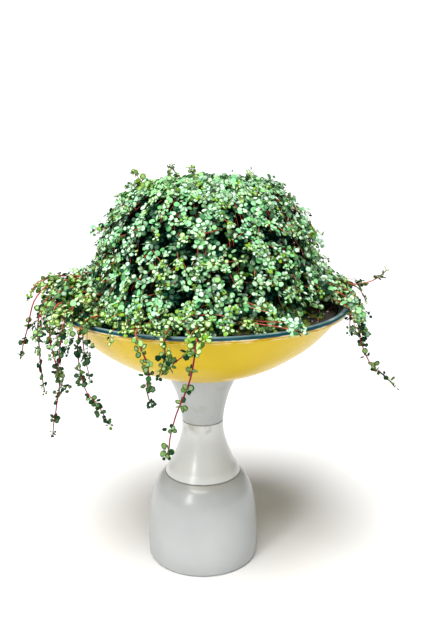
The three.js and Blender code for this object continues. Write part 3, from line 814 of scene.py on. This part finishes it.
def grow_leaves(growth, rng, line, out, painted_shade, start, **looks):
    """Clusters of round leaves on short side shoots, from `start` (mm along the line) to its tip.
    `out` is the direction at each point in which the leaves face."""
    look = {**LOOKS, **looks}
    total = lengths(line)[-1]
    count = int((total - start) / look["pitch"])
    if count < 1:
        return
    s = start + (np.arange(count) + rng.uniform(0.0, 0.9, count)) * (total - start) / count
    s = np.append(s[rng.uniform(0, 1, count) >= look["skip"]], total - 0.3)
    clusters = len(s)
    here = rows_at(s, lengths(line), np.column_stack([line, out, painted_shade, tangents(line)]))
    foot, outward, along = here[:, :3], unit(here[:, 3:6]), unit(here[:, 7:10])
    facing = unit(outward + look["turn"] * rng.normal(0, 1, (clusters, 3)))
    # Painted shade: a random amount for each cluster on top of its stem's.
    depth = np.clip(here[:, 6] + rng.uniform(*look["shade"], clusters), 0, 1)
    side = unit(np.cross(along, facing))
    angle = rng.uniform(-0.2, math.pi + 0.2, clusters)
    reach = rng.uniform(*look["shoot"], clusters) * smoothstep(-4, 12, total - s)
    shoot = np.cos(angle)[:, None] * side + 0.6 * np.sin(angle)[:, None] * facing
    shoot = unit(shoot + along * rng.uniform(0.0, 0.8, (clusters, 1))) * reach[:, None]
    few, many = look["leaves"]
    number = rng.integers(few, many + 1, clusters)
    size = rng.uniform(*look["radius"])
    root, chance = foot - look["sunk"] * outward, rng.uniform(0, 1, clusters)
    grow_stalks(growth, root, foot + shoot, facing, chance, depth, SHOOT_R)

    owner = np.repeat(np.arange(clusters), number)
    leaves = len(owner)
    place = np.arange(leaves) - np.repeat(np.cumsum(number) - number, number)
    share = (place + rng.uniform(0.2, 1.0, leaves)) / number[owner]
    facing, along, side, depth = facing[owner], along[owner], side[owner], depth[owner]
    root = foot[owner] + shoot[owner] * share[:, None]
    turn = rng.uniform(0, 2 * math.pi, clusters)[owner] + place * math.radians(GOLDEN_ANGLE)
    turn += rng.normal(0, 0.3, leaves)
    d = np.cos(turn)[:, None] * side + np.sin(turn)[:, None] * along
    d = unit(d + rng.uniform(-0.25, 0.45, (leaves, 1)) * facing)
    n = facing + look["flat"] * np.array([0, 0, 1.0]) + rng.normal(0, look["scatter"], d.shape)
    n = unit(n + 0.22 * d)
    d = unit(d - 0.8 * (d * n).sum(1, keepdims=True) * n)
    n = unit(n - (d * n).sum(1, keepdims=True) * d)
    to_tip = total - s[owner]
    r = size * lerp(0.62, 1.0, smoothstep(0, 14, to_tip)) * rng.uniform(0.7, 1.2, leaves)
    stalk = rng.uniform(0.2, 3.0, leaves)
    base = root + d * stalk[:, None] + facing * rng.uniform(-0.6, 1.8, (leaves, 1))
    centre = base + d * (0.86 * r)[:, None]
    # Painted shade: from the leaf's depth under the mound's surface, on a random share of single leaves, and
    # below the rim.
    if look["surface"] is not None:
        sunk = smoothstep(-0.5, 5.5, under_surface(centre, *look["surface"]))
        depth = 0.45 * np.clip(depth, 0, 0.9) + 0.55 * sunk
    depth = depth + rng.uniform(0.3, 0.9, leaves) * (rng.uniform(0, 1, leaves) < look["dim"])
    depth = np.clip(depth + look["hanging"] * smoothstep(6, -30, centre[:, 2] - RIM_Z), 0, 1)
    keep = np.ones(leaves, bool) if look["clear"] is None else look["clear"](centre, depth)
    tone = rng.uniform(*look["kind"]) + rng.normal(0, 0.07, leaves)
    is_young = rng.uniform(0, 1, clusters)[owner] < look["young"]
    is_young = is_young | (rng.uniform(0, 1, leaves) < 0.3 * smoothstep(9, 1, to_tip))
    tone = np.where(is_young, rng.uniform(0.75, 1.0, leaves), np.clip(tone, 0, 0.66))
    dome, chance = rng.uniform(0.1, 0.36, leaves), rng.uniform(0, 1, leaves)
    bright = rng.uniform(0, 1, leaves) < look["bright"]
    chance = np.where(bright, (np.floor(5 * chance) + 0.5 + 0.5 * (5 * chance % 1)) / DULL_CYCLES, chance)
    growth.leaves.append(np.column_stack([centre, d, n, r, dome, chance, depth, tone])[keep])
    stalked = keep & (depth < INNER_SHADE)
    root, base = root[stalked], base[stalked] + 0.6 * d[stalked]
    grow_stalks(growth, root, base, n[stalked], chance[stalked], depth[stalked], STALK_R)


def blades(rows, sides):
    """Leaf meshes from rows of (centre, direction, normal, radius, dome, chance, painted shade, kind):
    points, triangles, and the values that the leaf material reads, "leaf" then "blade"."""
    shape, faces, side = leaf_template(sides)
    x, y, z = shape.T
    centre, d, n = (rows[:, None, k : k + 3] for k in (0, 3, 6))
    r, dome, chance, depth, kind = rows.T[9:14, :, None]
    across = np.cross(n, d)
    oval = lerp(0.9, 1.0, (chance * 7.3) % 1)
    rise = dome * z - 0.3 * ((chance * 3.3) % 1) * x**2
    verts = centre + (r * x)[..., None] * d + (r * oval * y)[..., None] * across + (r * rise)[..., None] * n
    tris = faces + len(shape) * np.arange(len(rows))[:, None, None]
    values = np.zeros((len(rows), len(shape), 8))
    for k, value in enumerate((chance, depth, kind, side, x / 2 + 0.5, y / 2 + 0.5)):
        values[..., k] = value
    return verts.reshape(-1, 3), tris.reshape(-1, 3), values.reshape(-1, 8)


def write_growth(node, growth, stem_look, leaf_looks):
    verts, tris, values = joined(growth.stems)
    settle(add_object(node + "_stems", verts, tris, stem_look, {"stem": values}), "foliage", node)
    rows = np.vstack(growth.leaves)
    inner = rows[:, 12] > INNER_SHADE
    parts = [blades(rows[~inner], LEAF_SIDES), blades(rows[inner], INNER_LEAF_SIDES)]
    verts, tris, values = joined(parts)
    data = {"leaf": values[:, :4], "blade": values[:, 4:]}
    made = add_object(node + "_leaves", verts, tris, leaf_looks[0], data, MARGIN_ANGLE)
    settle(made, "foliage", node)
    made.data.materials.append(leaf_looks[1])
    is_inner = np.arange(len(tris)) >= len(parts[0][1])
    made.data.polygons.foreach_set("material_index", is_inner.astype(np.int32))


# ---------------------------------------------------------------- the mound

# Outermost stems of the mound as radius and height above the rim plane, down to the flank.
MOUND = [
    (0, 140), (30, 141), (54, 140), (73, 135.5), (89, 128), (101, 116), (111, 101), (119, 86), (124, 71),
    (129, 56),
]
# How much wider the mound is at the left.
LEFT_BULGE = 0.05
# Where the stems' lower ends hang: azimuth, radius, height.
HEM = [
    (-180, 150, 14), (-130, 148, 18), (-100, 152, 26), (-70, 152, 26), (-50, 158, 12), (-38, 164, 8),
    (0, 165, 8), (14, 158, 9), (26, 147, 12), (48, 148, 13), (70, 153, 20), (110, 152, 26), (140, 148, 18),
    (180, 150, 14),
]


def flank(azimuth):
    """The mound's profile at an azimuth, from the middle to the hem, its outward direction at each
    point, and the length up to it."""
    az, r, z = np.array(HEM, float).T
    hem_r, hem_z = np.interp(wrap(azimuth), az, r), np.interp(wrap(azimuth), az, z)
    bulge = LEFT_BULGE * max(0.0, -math.sin(math.radians(azimuth)))
    points = [(r * (1 + bulge * lerp(0.3, 1, smoothstep(70, 110, z))), z) for r, z in MOUND]
    points += [(lerp(130, hem_r, 0.36), lerp(58, hem_z, 0.5)), (hem_r, hem_z)]
    profile = smooth_line(points, 6, 3.0)
    d = unit(np.gradient(profile, axis=0))
    return profile, np.column_stack([-d[:, 1], d[:, 0]]), lengths(profile)


def on_flank(flank_line, t, depth):
    """Radius and height at shares t of the profile's length, `depth` under the surface."""
    profile, out, s = flank_line
    at = np.asarray(t) * s[-1]
    return rows_at(at, s, profile) - rows_at(at, s, out) * np.reshape(depth, (-1, 1))


def under_surface(points, profile, out):
    """How far points lie under the mound's surface."""
    at = np.column_stack([np.hypot(points[:, 0] - MOUND_X, points[:, 1]), points[:, 2] - RIM_Z])
    near = np.linalg.norm(at[:, None] - profile[None], axis=2).argmin(axis=1)
    return ((profile[near] - at) * out[near]).sum(axis=1)


def light_at(line, profile):
    """The direction in which the leaves of a line face, and the shade painted at each point, from how far it
    lies under the mound's surface.
    """
    x, y, height = line[:, 0] - MOUND_X, line[:, 1], line[:, 2] - RIM_Z
    r = np.hypot(x, y)
    slope = np.interp(height, [20, 60, 100, 130, 150], [0.35, 0.3, 0.4, 0.7, 1.1])
    outward = unit(np.column_stack([x, y, np.maximum(r, 20) * slope]))
    gap = np.hypot(r[:, None] - profile[None, :, 0], height[:, None] - profile[None, :, 1]).min(axis=1)
    return outward, smoothstep(2.0, 11, gap)


def mound_stem(rng, azimuth, depth, root_r, crest, end, wander, dents):
    """A line from the soil up inside the mound, over its crest and down its flank, `depth` under its
    surface, with the outward direction and the darkness at each point."""
    here = flank(azimuth)
    u = np.linspace(0, 1, 9)
    depths = depth + 3 * (1 - smoothstep(0, 0.25, u)) + rng.normal(0, 1.8, 9)
    base = on_flank(here, lerp(crest, end, u), depths)
    drift = wander * u**1.5 + np.cumsum(rng.normal(0, 2.1, 9))
    root_az = azimuth + rng.normal(0, 14)
    crest_r, crest_z = base[0]
    foot_z = soil_top(root_r) - ROOT_DEPTH
    points = [around(root_r, root_az, z, MOUND_X) for z in (foot_z, foot_z + 18)]
    for out, aside, up in ((0.15, 0.2, 0.5), (0.55, 0.7, 0.86)):
        r, az, z = lerp(root_r, crest_r, out), lerp(root_az, azimuth, aside), lerp(foot_z, crest_z, up)
        points.append(around(r, az, z, MOUND_X))
    points += [around(r, azimuth + w, z, MOUND_X) for (r, z), w in zip(base, drift)]
    line = smooth_line(points, 8, 4.0)
    if rng.uniform() < DENTED:
        line = drawn_in(line, dents)
    return line, *light_at(line, here[0]), here[:2]


def loose_spray(rng, azimuth, at, dents):
    """A short stem that comes out of the mound's surface, runs down and aside over it and ends proud."""
    here = flank(azimuth)
    u = np.linspace(0, 1, 6)
    run, swing = rng.uniform(0.06, 0.16), rng.normal(0, 11)
    proud = rng.choice([3.0, 5.0, 11.0], p=[0.5, 0.3, 0.2])
    base = on_flank(here, at + run * u, lerp(10, -proud, u**1.3))
    points = [around(r, azimuth + swing * x, z, MOUND_X) for (r, z), x in zip(base, u)]
    line = smooth_line(points, 5, 4.0)
    out, dark = light_at(line, here[0])
    dark = dark * smoothstep(0.9, 0.4, lengths(line) / lengths(line)[-1])
    ok = in_hollow(line[-1:], dents)[0] > (1 if rng.uniform() < 0.88 else 0)
    return ok, line, out, dark, here[:2]


# Dark hollows between the hanging stems: azimuth, height, half width, half height.
HOLLOWS = [
    (-10, 37, 7, 6), (-24, 72, 6, 7), (6, 58, 5, 5), (-26, 105, 5, 9), (-23, 89, 5, 8), (-38, 59, 7, 9),
    (-31, 94, 7, 6), (-47, 47, 9, 6), (18, 29, 5, 5), (-57, 77, 4, 7), (41, 90, 6, 5), (-37, 26, 8, 4),
    (6, 96, 7, 4), (8, 44, 4, 6), (-50, 92, 6, 5), (-10, 69, 5, 5), (46, 66, 5, 4), (19, 51, 5, 4),
    (5, 79, 5, 5), (-55, 110, 5, 5), (-2, 27, 6, 4), (15, 77, 4, 5), (-68, 41, 7, 8), (49, 81, 6, 5),
    (11, 34, 4, 5),
]
# Ranges of the other hollows, the same four numbers, and how many: round the sides and the back, and small
# ones at the right.
MORE_HOLLOWS = [(42, (62, 294), (22, 116), (4, 8), (4, 9)), (9, (22, 84), (24, 118), (3.6, 5.2), (4, 6))]
HOLLOW_SIZE = 0.9
# Share of the stems that bend inwards at a hollow. The others cross it.
DENTED = 0.97
# How far they bend inwards, and how much painted shade a leaf needs to stay in a hollow.
HOLLOW_PULL, DARK_ENOUGH = 18, 0.75


def hollows(rng):
    table = list(HOLLOWS)
    for count, *ranges in MORE_HOLLOWS:
        table += [[rng.uniform(*span) for span in ranges] for _ in range(count)]
    return np.array(table, float) * [1, 1, HOLLOW_SIZE, HOLLOW_SIZE]


def in_hollow(points, table):
    """Distance from the nearest hollow's middle, 1 at its edge."""
    x, y = points[:, 0] - MOUND_X, points[:, 1]
    azimuth, r = np.degrees(np.arctan2(x, -y)), np.hypot(x, y)
    across = np.radians(wrap(azimuth[:, None] - table[None, :, 0])) * r[:, None] / table[None, :, 2]
    along = (points[:, 2, None] - RIM_Z - table[None, :, 1]) / table[None, :, 3]
    return np.sqrt((across**2 + along**2).min(axis=1))


def drawn_in(line, table):
    """Draws the outer stretches of a line towards the mound's middle where they cross a hollow."""
    x, y, z = line.T
    x = x - MOUND_X
    r = np.hypot(x, y)
    pull = HOLLOW_PULL * smoothstep(1.2, 0.7, in_hollow(line, table))
    pull *= smoothstep(70, 95, r + 0.4 * (z - RIM_Z))
    scale = np.maximum(r - pull, 5) / np.maximum(r, 1e-6)
    return np.column_stack([MOUND_X + x * scale, y * scale, z])


def outer_node(azimuth):
    return f"outer_spray_{int((wrap(azimuth) + 180) // 30) % 12 + 1:02d}"


def crown_node(azimuth):
    return f"crown_spray_{int((wrap(azimuth) + 180) // 90) % 4 + 1:02d}"


# Layers of hanging stems from the surface in: depth, pitch of the clusters, size of a leaf.
LAYERS = [
    ((-1, 4), 12.0, 1.08), ((4, 9), 13.0, 1.08), ((9, 16), 16.0, 1.2), ((20, 30), 21.0, 1.7),
    ((34, 52), 25.0, 2.4),
]
# Depth from which a stem is leafy inside the mound, where it stays dark, and the height where that starts.
INNER_LAYERS, INNER_START = 18, 60
CROWN_STEMS, LOOSE_SPRAYS = 150, 440
# How far the mound's stems lie inside of their leaves, and the painted shade below which their leaves start.
SUNK, LEAFY = 3.0, 0.93
# Shoots above the crown's outline: radius of their feet, and azimuth, radius, height of each tip.
SPRIG_ROOT_R = 12.0
SPRIGS = [
    (-60, 34, 163), (-35, 16, 161), (60, 60, 157), (30, 74, 146), (-75, 74, 156), (140, 50, 149),
    (-140, 60, 155),
]


def grow_mound(rng, plants):
    dents = hollows(np.random.default_rng(SEED + 3))

    def clear(centre, painted_shade):
        return in_hollow(centre, dents) > np.where(painted_shade < DARK_ENOUGH, 1.0, 0.0)

    def grow(node, made, thick, start, **looks):
        line, out, dark, surface = made
        # Painted shade on the stem: deep in the mound and in the hollows.
        painted_stem_shade = np.maximum(dark, smoothstep(1.9, 1.1, in_hollow(line, dents)))
        grow_stem(plants[node], rng, line - SUNK * out, thick, painted_stem_shade)
        looks.update(clear=clear, surface=surface, sunk=SUNK)
        grow_leaves(plants[node], rng, line, out, dark, start, **looks)

    def plant_stem(node, azimuth, depth, *course, **looks):
        made = mound_stem(rng, azimuth, depth, *course, dents)
        line, _out, dark, _surface = made
        if depth > INNER_LAYERS:
            start = lengths(line)[int(np.argmax(line[:, 2] > RIM_Z + INNER_START))]
        else:
            start = first_length(line, dark < LEAFY)
        grow(node, made, rng.uniform(0.36, 0.48), start, **looks)
        return made

    def side_stem(node, line, out, dark, surface):
        cut = int(len(line) * rng.uniform(0.45, 0.75))
        branch, out, dark = line[cut:].copy(), out[cut:], dark[cut:]
        if len(branch) < 9:
            return
        t = np.linspace(0, 1, len(branch))[:, None]
        tangential = unit(np.column_stack([-branch[:, 1], branch[:, 0] - MOUND_X, 0 * branch[:, 0]]))
        branch += tangential * rng.choice([-1, 1]) * rng.uniform(6, 22) * smoothstep(0, 0.8, t)
        branch += out * rng.uniform(-2, 5) * t
        keep = max(7, int(len(branch) * rng.uniform(0.7, 1.0)))
        grow(node, (branch[:keep], out[:keep], dark[:keep], surface), 0.4, 5.0, kind=(0.0, 0.25))

    azimuth = -180.0
    while azimuth < 179:
        spacing = rng.uniform(3.8, 6.0)
        middle = azimuth + spacing / 2
        sunk = rng.uniform(0, 4) * (rng.uniform() < 0.3)
        for layer, (depths, pitch, scale) in enumerate(LAYERS):
            az = middle + rng.normal(0, 1.8)
            end = rng.uniform(0.93, 1.0) if rng.uniform() < 0.6 else rng.uniform(0.6, 0.93)
            wander = rng.normal(0, 8) + (rng.uniform() < 0.2) * rng.normal(0, 14)
            depth, root_r, crest = rng.uniform(*depths) + sunk, rng.uniform(22, 66), rng.uniform(0.12, 0.34)
            looks = dict(pitch=pitch, radius=(2.6 * scale, 3.2 * scale))
            made = plant_stem(outer_node(az), az, depth, root_r, crest, end, wander, **looks)
            if layer == 0:
                side_stem(outer_node(az), *made)
        azimuth += spacing

    for k in range(LOOSE_SPRAYS):
        az, at = wrap(k * GOLDEN_ANGLE + rng.normal(0, 6)), 0.14 + 0.76 * rng.uniform() ** 0.62
        ok, line, out, dark, surface = loose_spray(rng, az, at, dents)
        if ok:
            growth = plants[outer_node(az)]
            grow_stem(growth, rng, line, 0.42, dark)
            looks = dict(pitch=10.0, kind=(0.0, 0.3), surface=surface, clear=clear)
            grow_leaves(growth, rng, line, out, dark, 8.0, **looks)

    for k in range(CROWN_STEMS):
        az = wrap(k * GOLDEN_ANGLE + rng.normal(0, 6))
        end = rng.uniform(0.08, 0.48)
        crest = max(0.02, end - rng.uniform(0.12, 0.22))
        # Partly painted light from above: crown leaves are nearly all bright silver and none get single
        # painted shade.
        looks = dict(pitch=9.0, kind=(0.04, 0.28), young=0.04, bright=0.95, flat=0.4, dim=0.0)
        depth, root_r, wander = rng.uniform(-5, 0), rng.uniform(3, 26), rng.normal(0, 8)
        plant_stem(crown_node(az), az, depth, root_r, crest, end, wander, **looks)
    for az, reach, top in SPRIGS:
        foot = soil_top(SPRIG_ROOT_R) - ROOT_DEPTH
        course = [(SPRIG_ROOT_R, foot), (SPRIG_ROOT_R, foot + 30), (reach * 0.6, top * 0.6)]
        course += [(reach * 0.92, top - 20), (reach, top - 6), (reach + 5, top)]
        line = smooth_line([around(r, az, z) for r, z in course], 8, 4.0)
        # Painted shade on the sprig's lower part, inside the crown.
        dark = smoothstep(146, 120, line[:, 2] - RIM_Z)
        out = unit(np.column_stack([line[:, 0], line[:, 1] - 30, np.full(len(line), 60.0)]))
        growth, start = plants[crown_node(az)], first_length(line, dark < 0.9)
        grow_stem(growth, rng, line, 0.55, dark)
        grow_leaves(growth, rng, line, out, dark, start, pitch=7.0, kind=(0.3, 0.6), young=0.1, turn=0.5)


# ---------------------------------------------------------------- stems over the rim


def off_the_bowl(line, margin):
    """Lifts a line over the soil and the rim, and keeps it off the bowl's outside past the rim."""
    line = line.copy()
    r = np.hypot(line[:, 0], line[:, 1])
    z = line[:, 2] - RIM_Z
    passed = np.maximum.accumulate(r) > BAND_R + 1
    bowl = np.array([*BOWL, (BAND_R + 0.6, -5.5), (BAND_R + 0.6, BAND_TOP)], float)
    least = np.interp(z, bowl[:, 1], bowl[:, 0], left=0.0) + margin
    least = np.where(z > BAND_TOP + margin, 0.0, least)
    wanted = np.where(passed, np.maximum(r, least), r)
    line[:, :2] *= (wanted / np.maximum(r, 1e-6))[:, None]
    r = wanted
    over = np.where(r > SOIL_R - 4, BAND_TOP + margin, soil_top(r) + 0.5)
    line[:, 2] = np.where(passed & (r >= least), line[:, 2], np.maximum(line[:, 2], RIM_Z + over))
    return line


def trail_line(name):
    (azimuth, radius), points = TRAILS[name]
    soil = soil_top(radius)
    foot = [around(radius, azimuth, soil - ROOT_DEPTH), around(radius + 1, azimuth, soil + 5)]
    return smooth_line([*foot, *from_rim(points)], 10, 3.0)


def grow_trail(
    rng, growth, line, stem_r, start=None, painted_shade=0.1, lean=(1.0, 60.0, 40.0), crimson=1.0, **looks
):
    """One stem over the rim. `lean` weighs outward, frontward and upward in the direction its leaves
    face."""
    wobble = np.cumsum(rng.normal(0, 0.5, line.shape), axis=0) * np.linspace(0, 1, len(line))[:, None]
    smooth = np.column_stack([np.convolve(column, np.ones(7) / 7, "same") for column in wobble.T])
    line = off_the_bowl(line + smooth, 1.5)
    outward, frontward, upward = lean
    out = line * [outward, outward, 0] + [0, -frontward, upward]
    dark = np.full(len(line), painted_shade)
    if start is None:
        start = first_length(line, np.hypot(line[:, 0], line[:, 1]) > 120)
    grow_stem(growth, rng, line, stem_r, dark, crimson)
    grow_leaves(growth, rng, line, unit(out), dark, start, **looks)


# A side stem of a trailing node: points (x, y, height) from where it leaves the main one.
SIDE_STEMS = {
    "left_long": [(-166, -82, -66), (-160, -88, -76), (-152, -91, -80)],
    "left_front": [(-112, -128, 10), (-121, -144, 3), (-121, -148, -24), (-116, -152, -50)],
    "front_cluster": [
        (6, -150, 10), (4, -170, 10), (3, -185, 4), (-6, -188, -4), (-16, -188, -12), (-30, -187, -22),
        (-38, -187, -28),
    ],
    "right_long": [(168, -36, 15), (178, -30, 12), (184, -24, 2), (188, -20, -12)],
    "right_sprig": [(168, 4, 24), (180, -8, 22), (190, -14, 14), (196, -18, 2)],
    "left_outer": [(-160, -40, 22), (-178, -52, 16), (-186, -58, 0), (-186, -60, -24)],
    "left_far": [(-164, -14, 26), (-186, -10, 30), (-202, -6, 22), (-210, -6, 4)],
}
# The length along a side stem at which its leaves start.
SIDE_STEM_START = 4.0

# Stems with wide bare stretches, and the distance between their clusters. It is PITCH on the others.
BARE_TRAILS = dict(front_long=21.0, left_long=18.0, left_outer=15.0, left_far=14.0, front_short=13.0)
PITCH = 10.5

# Fans of stems that arch out from the mound's foot: azimuths, count, reach, height of the arch,
# painted shade, and kind of the leaves.
FANS = [
    (-124, -50, 52, (160, 210), (8, 30), (0.0, 0.1), (0.15, 0.66)),
    (-125, -45, 26, (128, 172), (6, 20), (0.3, 0.7), (0.25, 0.66)),
    (68, 122, 27, (158, 200), (10, 32), (0.0, 0.1), (0.1, 0.45)),
    (72, 94, 7, (186, 202), (14, 28), (0.0, 0.1), (0.1, 0.45)),
    (40, 125, 18, (126, 164), (6, 16), (0.2, 0.6), (0.1, 0.5)),
    (-50, 8, 46, (156, 181), (6, 15), (0.05, 0.3), (0.15, 0.55)),
    (8, 42, 7, (146, 160), (6, 11), (0.0, 0.15), (0.1, 0.4)),
    (122, 238, 36, (156, 190), (8, 28), (0.0, 0.2), (0.1, 0.5)),
]
# Single stems that lie over the soil or stand off the mound: points (x, y, height), and the share of
# the length at which leaves start.
SINGLE_STEMS = [
    (
        [
            (40, -118, 4), (48, -136, 10), (62, -146, 10), (80, -149, 9), (92, -151, 8), (102, -152, 7),
            (110, -149, 4),
        ],
        0.7,
    ),
    ([(36, -112, 4), (50, -130, 9), (72, -140, 11), (92, -142, 11), (104, -146, 9)], 0.6),
    ([(-88, -20, 70), (-104, -30, 84), (-112, -36, 92), (-118, -40, 93), (-124, -42, 88)], 0.35),
]
# How the leaves of these and of the fans face, and how crimson the stems are.
UPWARD = dict(lean=(0.45, 75.0, 100.0), crimson=0.0)


def grow_fans(rng, plants):
    names = list(TRAILS)
    at = np.array([TRAILS[n][0][0] for n in names], float)
    # Painted shade on the fans: a random amount per cluster, and more below the rim.
    looks = dict(UPWARD, young=0.08, pitch=11.0, scatter=0.45, turn=0.35, shade=(-2.0, 1.0))
    looks.update(radius=(2.9, 3.6), hanging=0.3)
    for low, high, count, (near, far), (flat_top, high_top), shades, kind in FANS:
        for k in range(count):
            azimuth = lerp(low, high, (k + rng.uniform(0.1, 0.9)) / count)
            node = "trail_" + names[int(np.abs(wrap(at - azimuth)).argmin())]
            reach = lerp(near, far, rng.uniform() ** 1.3)
            top = rng.uniform(flat_top, high_top)
            root_r, root_az = rng.uniform(98, 122), azimuth + rng.normal(0, 5)
            foot = soil_top(root_r) - ROOT_DEPTH
            swing = rng.normal(0, 6)
            fall = rng.uniform(4, 20) + (reach > BAND_R + 4) * rng.uniform(0, 44)
            bend = min(152, lerp(root_r, reach, 0.6))
            course = [
                (root_r, root_az, foot), (root_r + 2, root_az, foot + 16),
                (lerp(root_r, bend, 0.6), azimuth, top * 0.9), (bend, azimuth + 0.3 * swing, top),
                (lerp(bend, reach, 0.6), azimuth + 0.7 * swing, top - 0.2 * fall),
                (reach, azimuth + swing, max(top - fall, -40.0)),
            ]
            line = off_the_bowl(smooth_line([around(*point) for point in course], 8, 3.0), 3.0)
            start = first_length(line, np.hypot(line[:, 0], line[:, 1]) > rng.uniform(112, 150))
            # Painted shade: more single shaded leaves on the left, and fewer always-bright leaves at the
            # front, under the mound.
            looks.update(kind=kind, dim=0.2 if azimuth < 0 else 0.12)
            looks.update(bright=0.92 if abs(azimuth) > 50 else 0.5)
            grow_trail(rng, plants[node], line, rng.uniform(0.42, 0.6), start, rng.uniform(*shades), **looks)


def grow_trails(rng, plants):
    looks = dict(kind=(0.4, 0.66), young=0.04, skip=0.03, shoot=(0.3, 4.0), scatter=0.6, turn=0.5)
    # Painted shade on the trails: a random amount per cluster, on single leaves, and more below the rim.
    looks.update(radius=(3.0, 3.6), shade=(-0.4, 0.4), bright=0.22, hanging=0.36, dim=0.15)
    for name in TRAILS:
        growth = plants["trail_" + name]
        looks["pitch"] = BARE_TRAILS.get(name, PITCH)
        grow_trail(rng, growth, off_the_bowl(trail_line(name), 2.0), TRAIL_R, **looks)
        if name in SIDE_STEMS:
            line = off_the_bowl(smooth_line(from_rim(SIDE_STEMS[name]), 10, 3.0), 2.0)
            grow_trail(rng, growth, line, SIDE_R, SIDE_STEM_START, **looks)
    grow_fans(rng, plants)
    looks = dict(UPWARD, pitch=8.0, leaves=(5, 8), radius=(2.9, 3.5), bright=0.7, kind=(0.0, 0.4))
    for points, start in SINGLE_STEMS:
        line = smooth_line(from_rim(points), 8, 4.0)
        azimuth = np.degrees(np.arctan2(line[-1, 0] - MOUND_X, -line[-1, 1]))
        start = start * lengths(line)[-1]
        grow_trail(rng, plants[outer_node(azimuth)], line, SINGLE_R, start, 0.0, **looks)


def grow_plant():
    names = ["trail_" + n for n in TRAILS]
    names += [f"crown_spray_{k:02d}" for k in range(1, 5)] + [f"outer_spray_{k:02d}" for k in range(1, 13)]
    plants = {name: Growth() for name in names}
    grow_mound(np.random.default_rng(MOUND_SEED), plants)
    grow_trails(np.random.default_rng(TRAIL_SEED), plants)
    stem_look, leaf_looks = stem_material(), (leaf_material("leaf", 0.08), leaf_material("inner_leaf", 0.0))
    for name, growth in plants.items():
        write_growth(name, growth, stem_look, leaf_looks)


# ---------------------------------------------------------------- floor, light and camera

# The studio: input of the mixed shader, colour and strength of its light, then of the backdrop.
STUDIO = [(1, (0.96, 0.98, 1.0, 1.0), 0.3), (2, (1.0, 1.0, 1.0, 1.0), 1.0)]
# Half of the floor's side.
FLOOR_HALF = 12000.0
# The lamps: place and size in metres, power in watts. Both look at LAMP_TARGET.
LAMPS = [("key", (-0.95, -1.5, 1.05), (0.35, 0.8), 12), ("fill", (0.95, -1.5, 1.1), (0.3, 0.8), 1)]
LAMP_TARGET = (0, 0, 0.3)
# The sun: watts a square metre, degrees across, degrees turned round X, Y and Z.
SUN_STRENGTH, SUN_SPREAD, SUN_TILT = 4.6, 38, (20, -8, 0)
# The camera as fitted to the photo: lens and sensor in millimetres, place in metres, degrees that it looks
# down.
LENS, SENSOR, CAMERA_PLACE, CAMERA_DOWN = 42.8, 36.0, (0.0099, -0.894, 0.5375), 13.85


def add_lamp(name, place, size, power):
    light = bpy.data.lights.new(name, "AREA")
    light.shape = "RECTANGLE"
    light.size, light.size_y = size
    light.energy = power
    lamp = in_scene(name, light)
    lamp.location = place
    lamp.rotation_euler = (Vector(LAMP_TARGET) - Vector(place)).to_track_quat("-Z", "Y").to_euler()


def add_world():
    """A soft even studio. What the camera sees of it is the white backdrop."""
    world = bpy.data.worlds.new("studio")
    bpy.context.scene.world = world
    world.use_nodes = True
    tree = world.node_tree
    tree.nodes.clear()
    kinds = "LightPath", "MixShader", "OutputWorld"
    rays, mix, output = (tree.nodes.new("ShaderNode" + kind) for kind in kinds)
    tree.links.new(rays.outputs["Is Camera Ray"], mix.inputs[0])
    for slot, colour, strength in STUDIO:
        light = tree.nodes.new("ShaderNodeBackground")
        light.inputs["Color"].default_value = colour
        light.inputs["Strength"].default_value = strength
        tree.links.new(light.outputs[0], mix.inputs[slot])
    tree.links.new(mix.outputs[0], output.inputs["Surface"])


def make_stage():
    corners = [(x * FLOOR_HALF, y * FLOOR_HALF, 0) for x, y in ((-1, -1), (1, -1), (1, 1), (-1, 1))]
    add_object("floor", corners, [(0, 1, 2, 3)], floor_material())
    add_world()
    sun = bpy.data.lights.new("overhead", "SUN")
    sun.energy = SUN_STRENGTH
    sun.angle = math.radians(SUN_SPREAD)
    in_scene("overhead", sun).rotation_euler = [math.radians(a) for a in SUN_TILT]
    for lamp in LAMPS:
        add_lamp(*lamp)
    view = bpy.context.scene.view_settings
    view.view_transform = "Standard"
    view.look = "None"


def make_camera():
    data = bpy.data.cameras.new("camera")
    data.lens = LENS
    data.sensor_width = SENSOR
    data.clip_start, data.clip_end = 0.05, 60.0
    camera = in_scene("camera", data)
    camera.location = CAMERA_PLACE
    camera.rotation_euler = (math.radians(90 - CAMERA_DOWN), 0, 0)
    bpy.context.scene.camera = camera


make_camera()
make_stage()
make_pedestal()
make_bowl()
make_soil()
scatter = np.random.default_rng(SEED + 2)
make_grit(scatter)
make_twigs(scatter)
make_moss(scatter)
grow_plant()
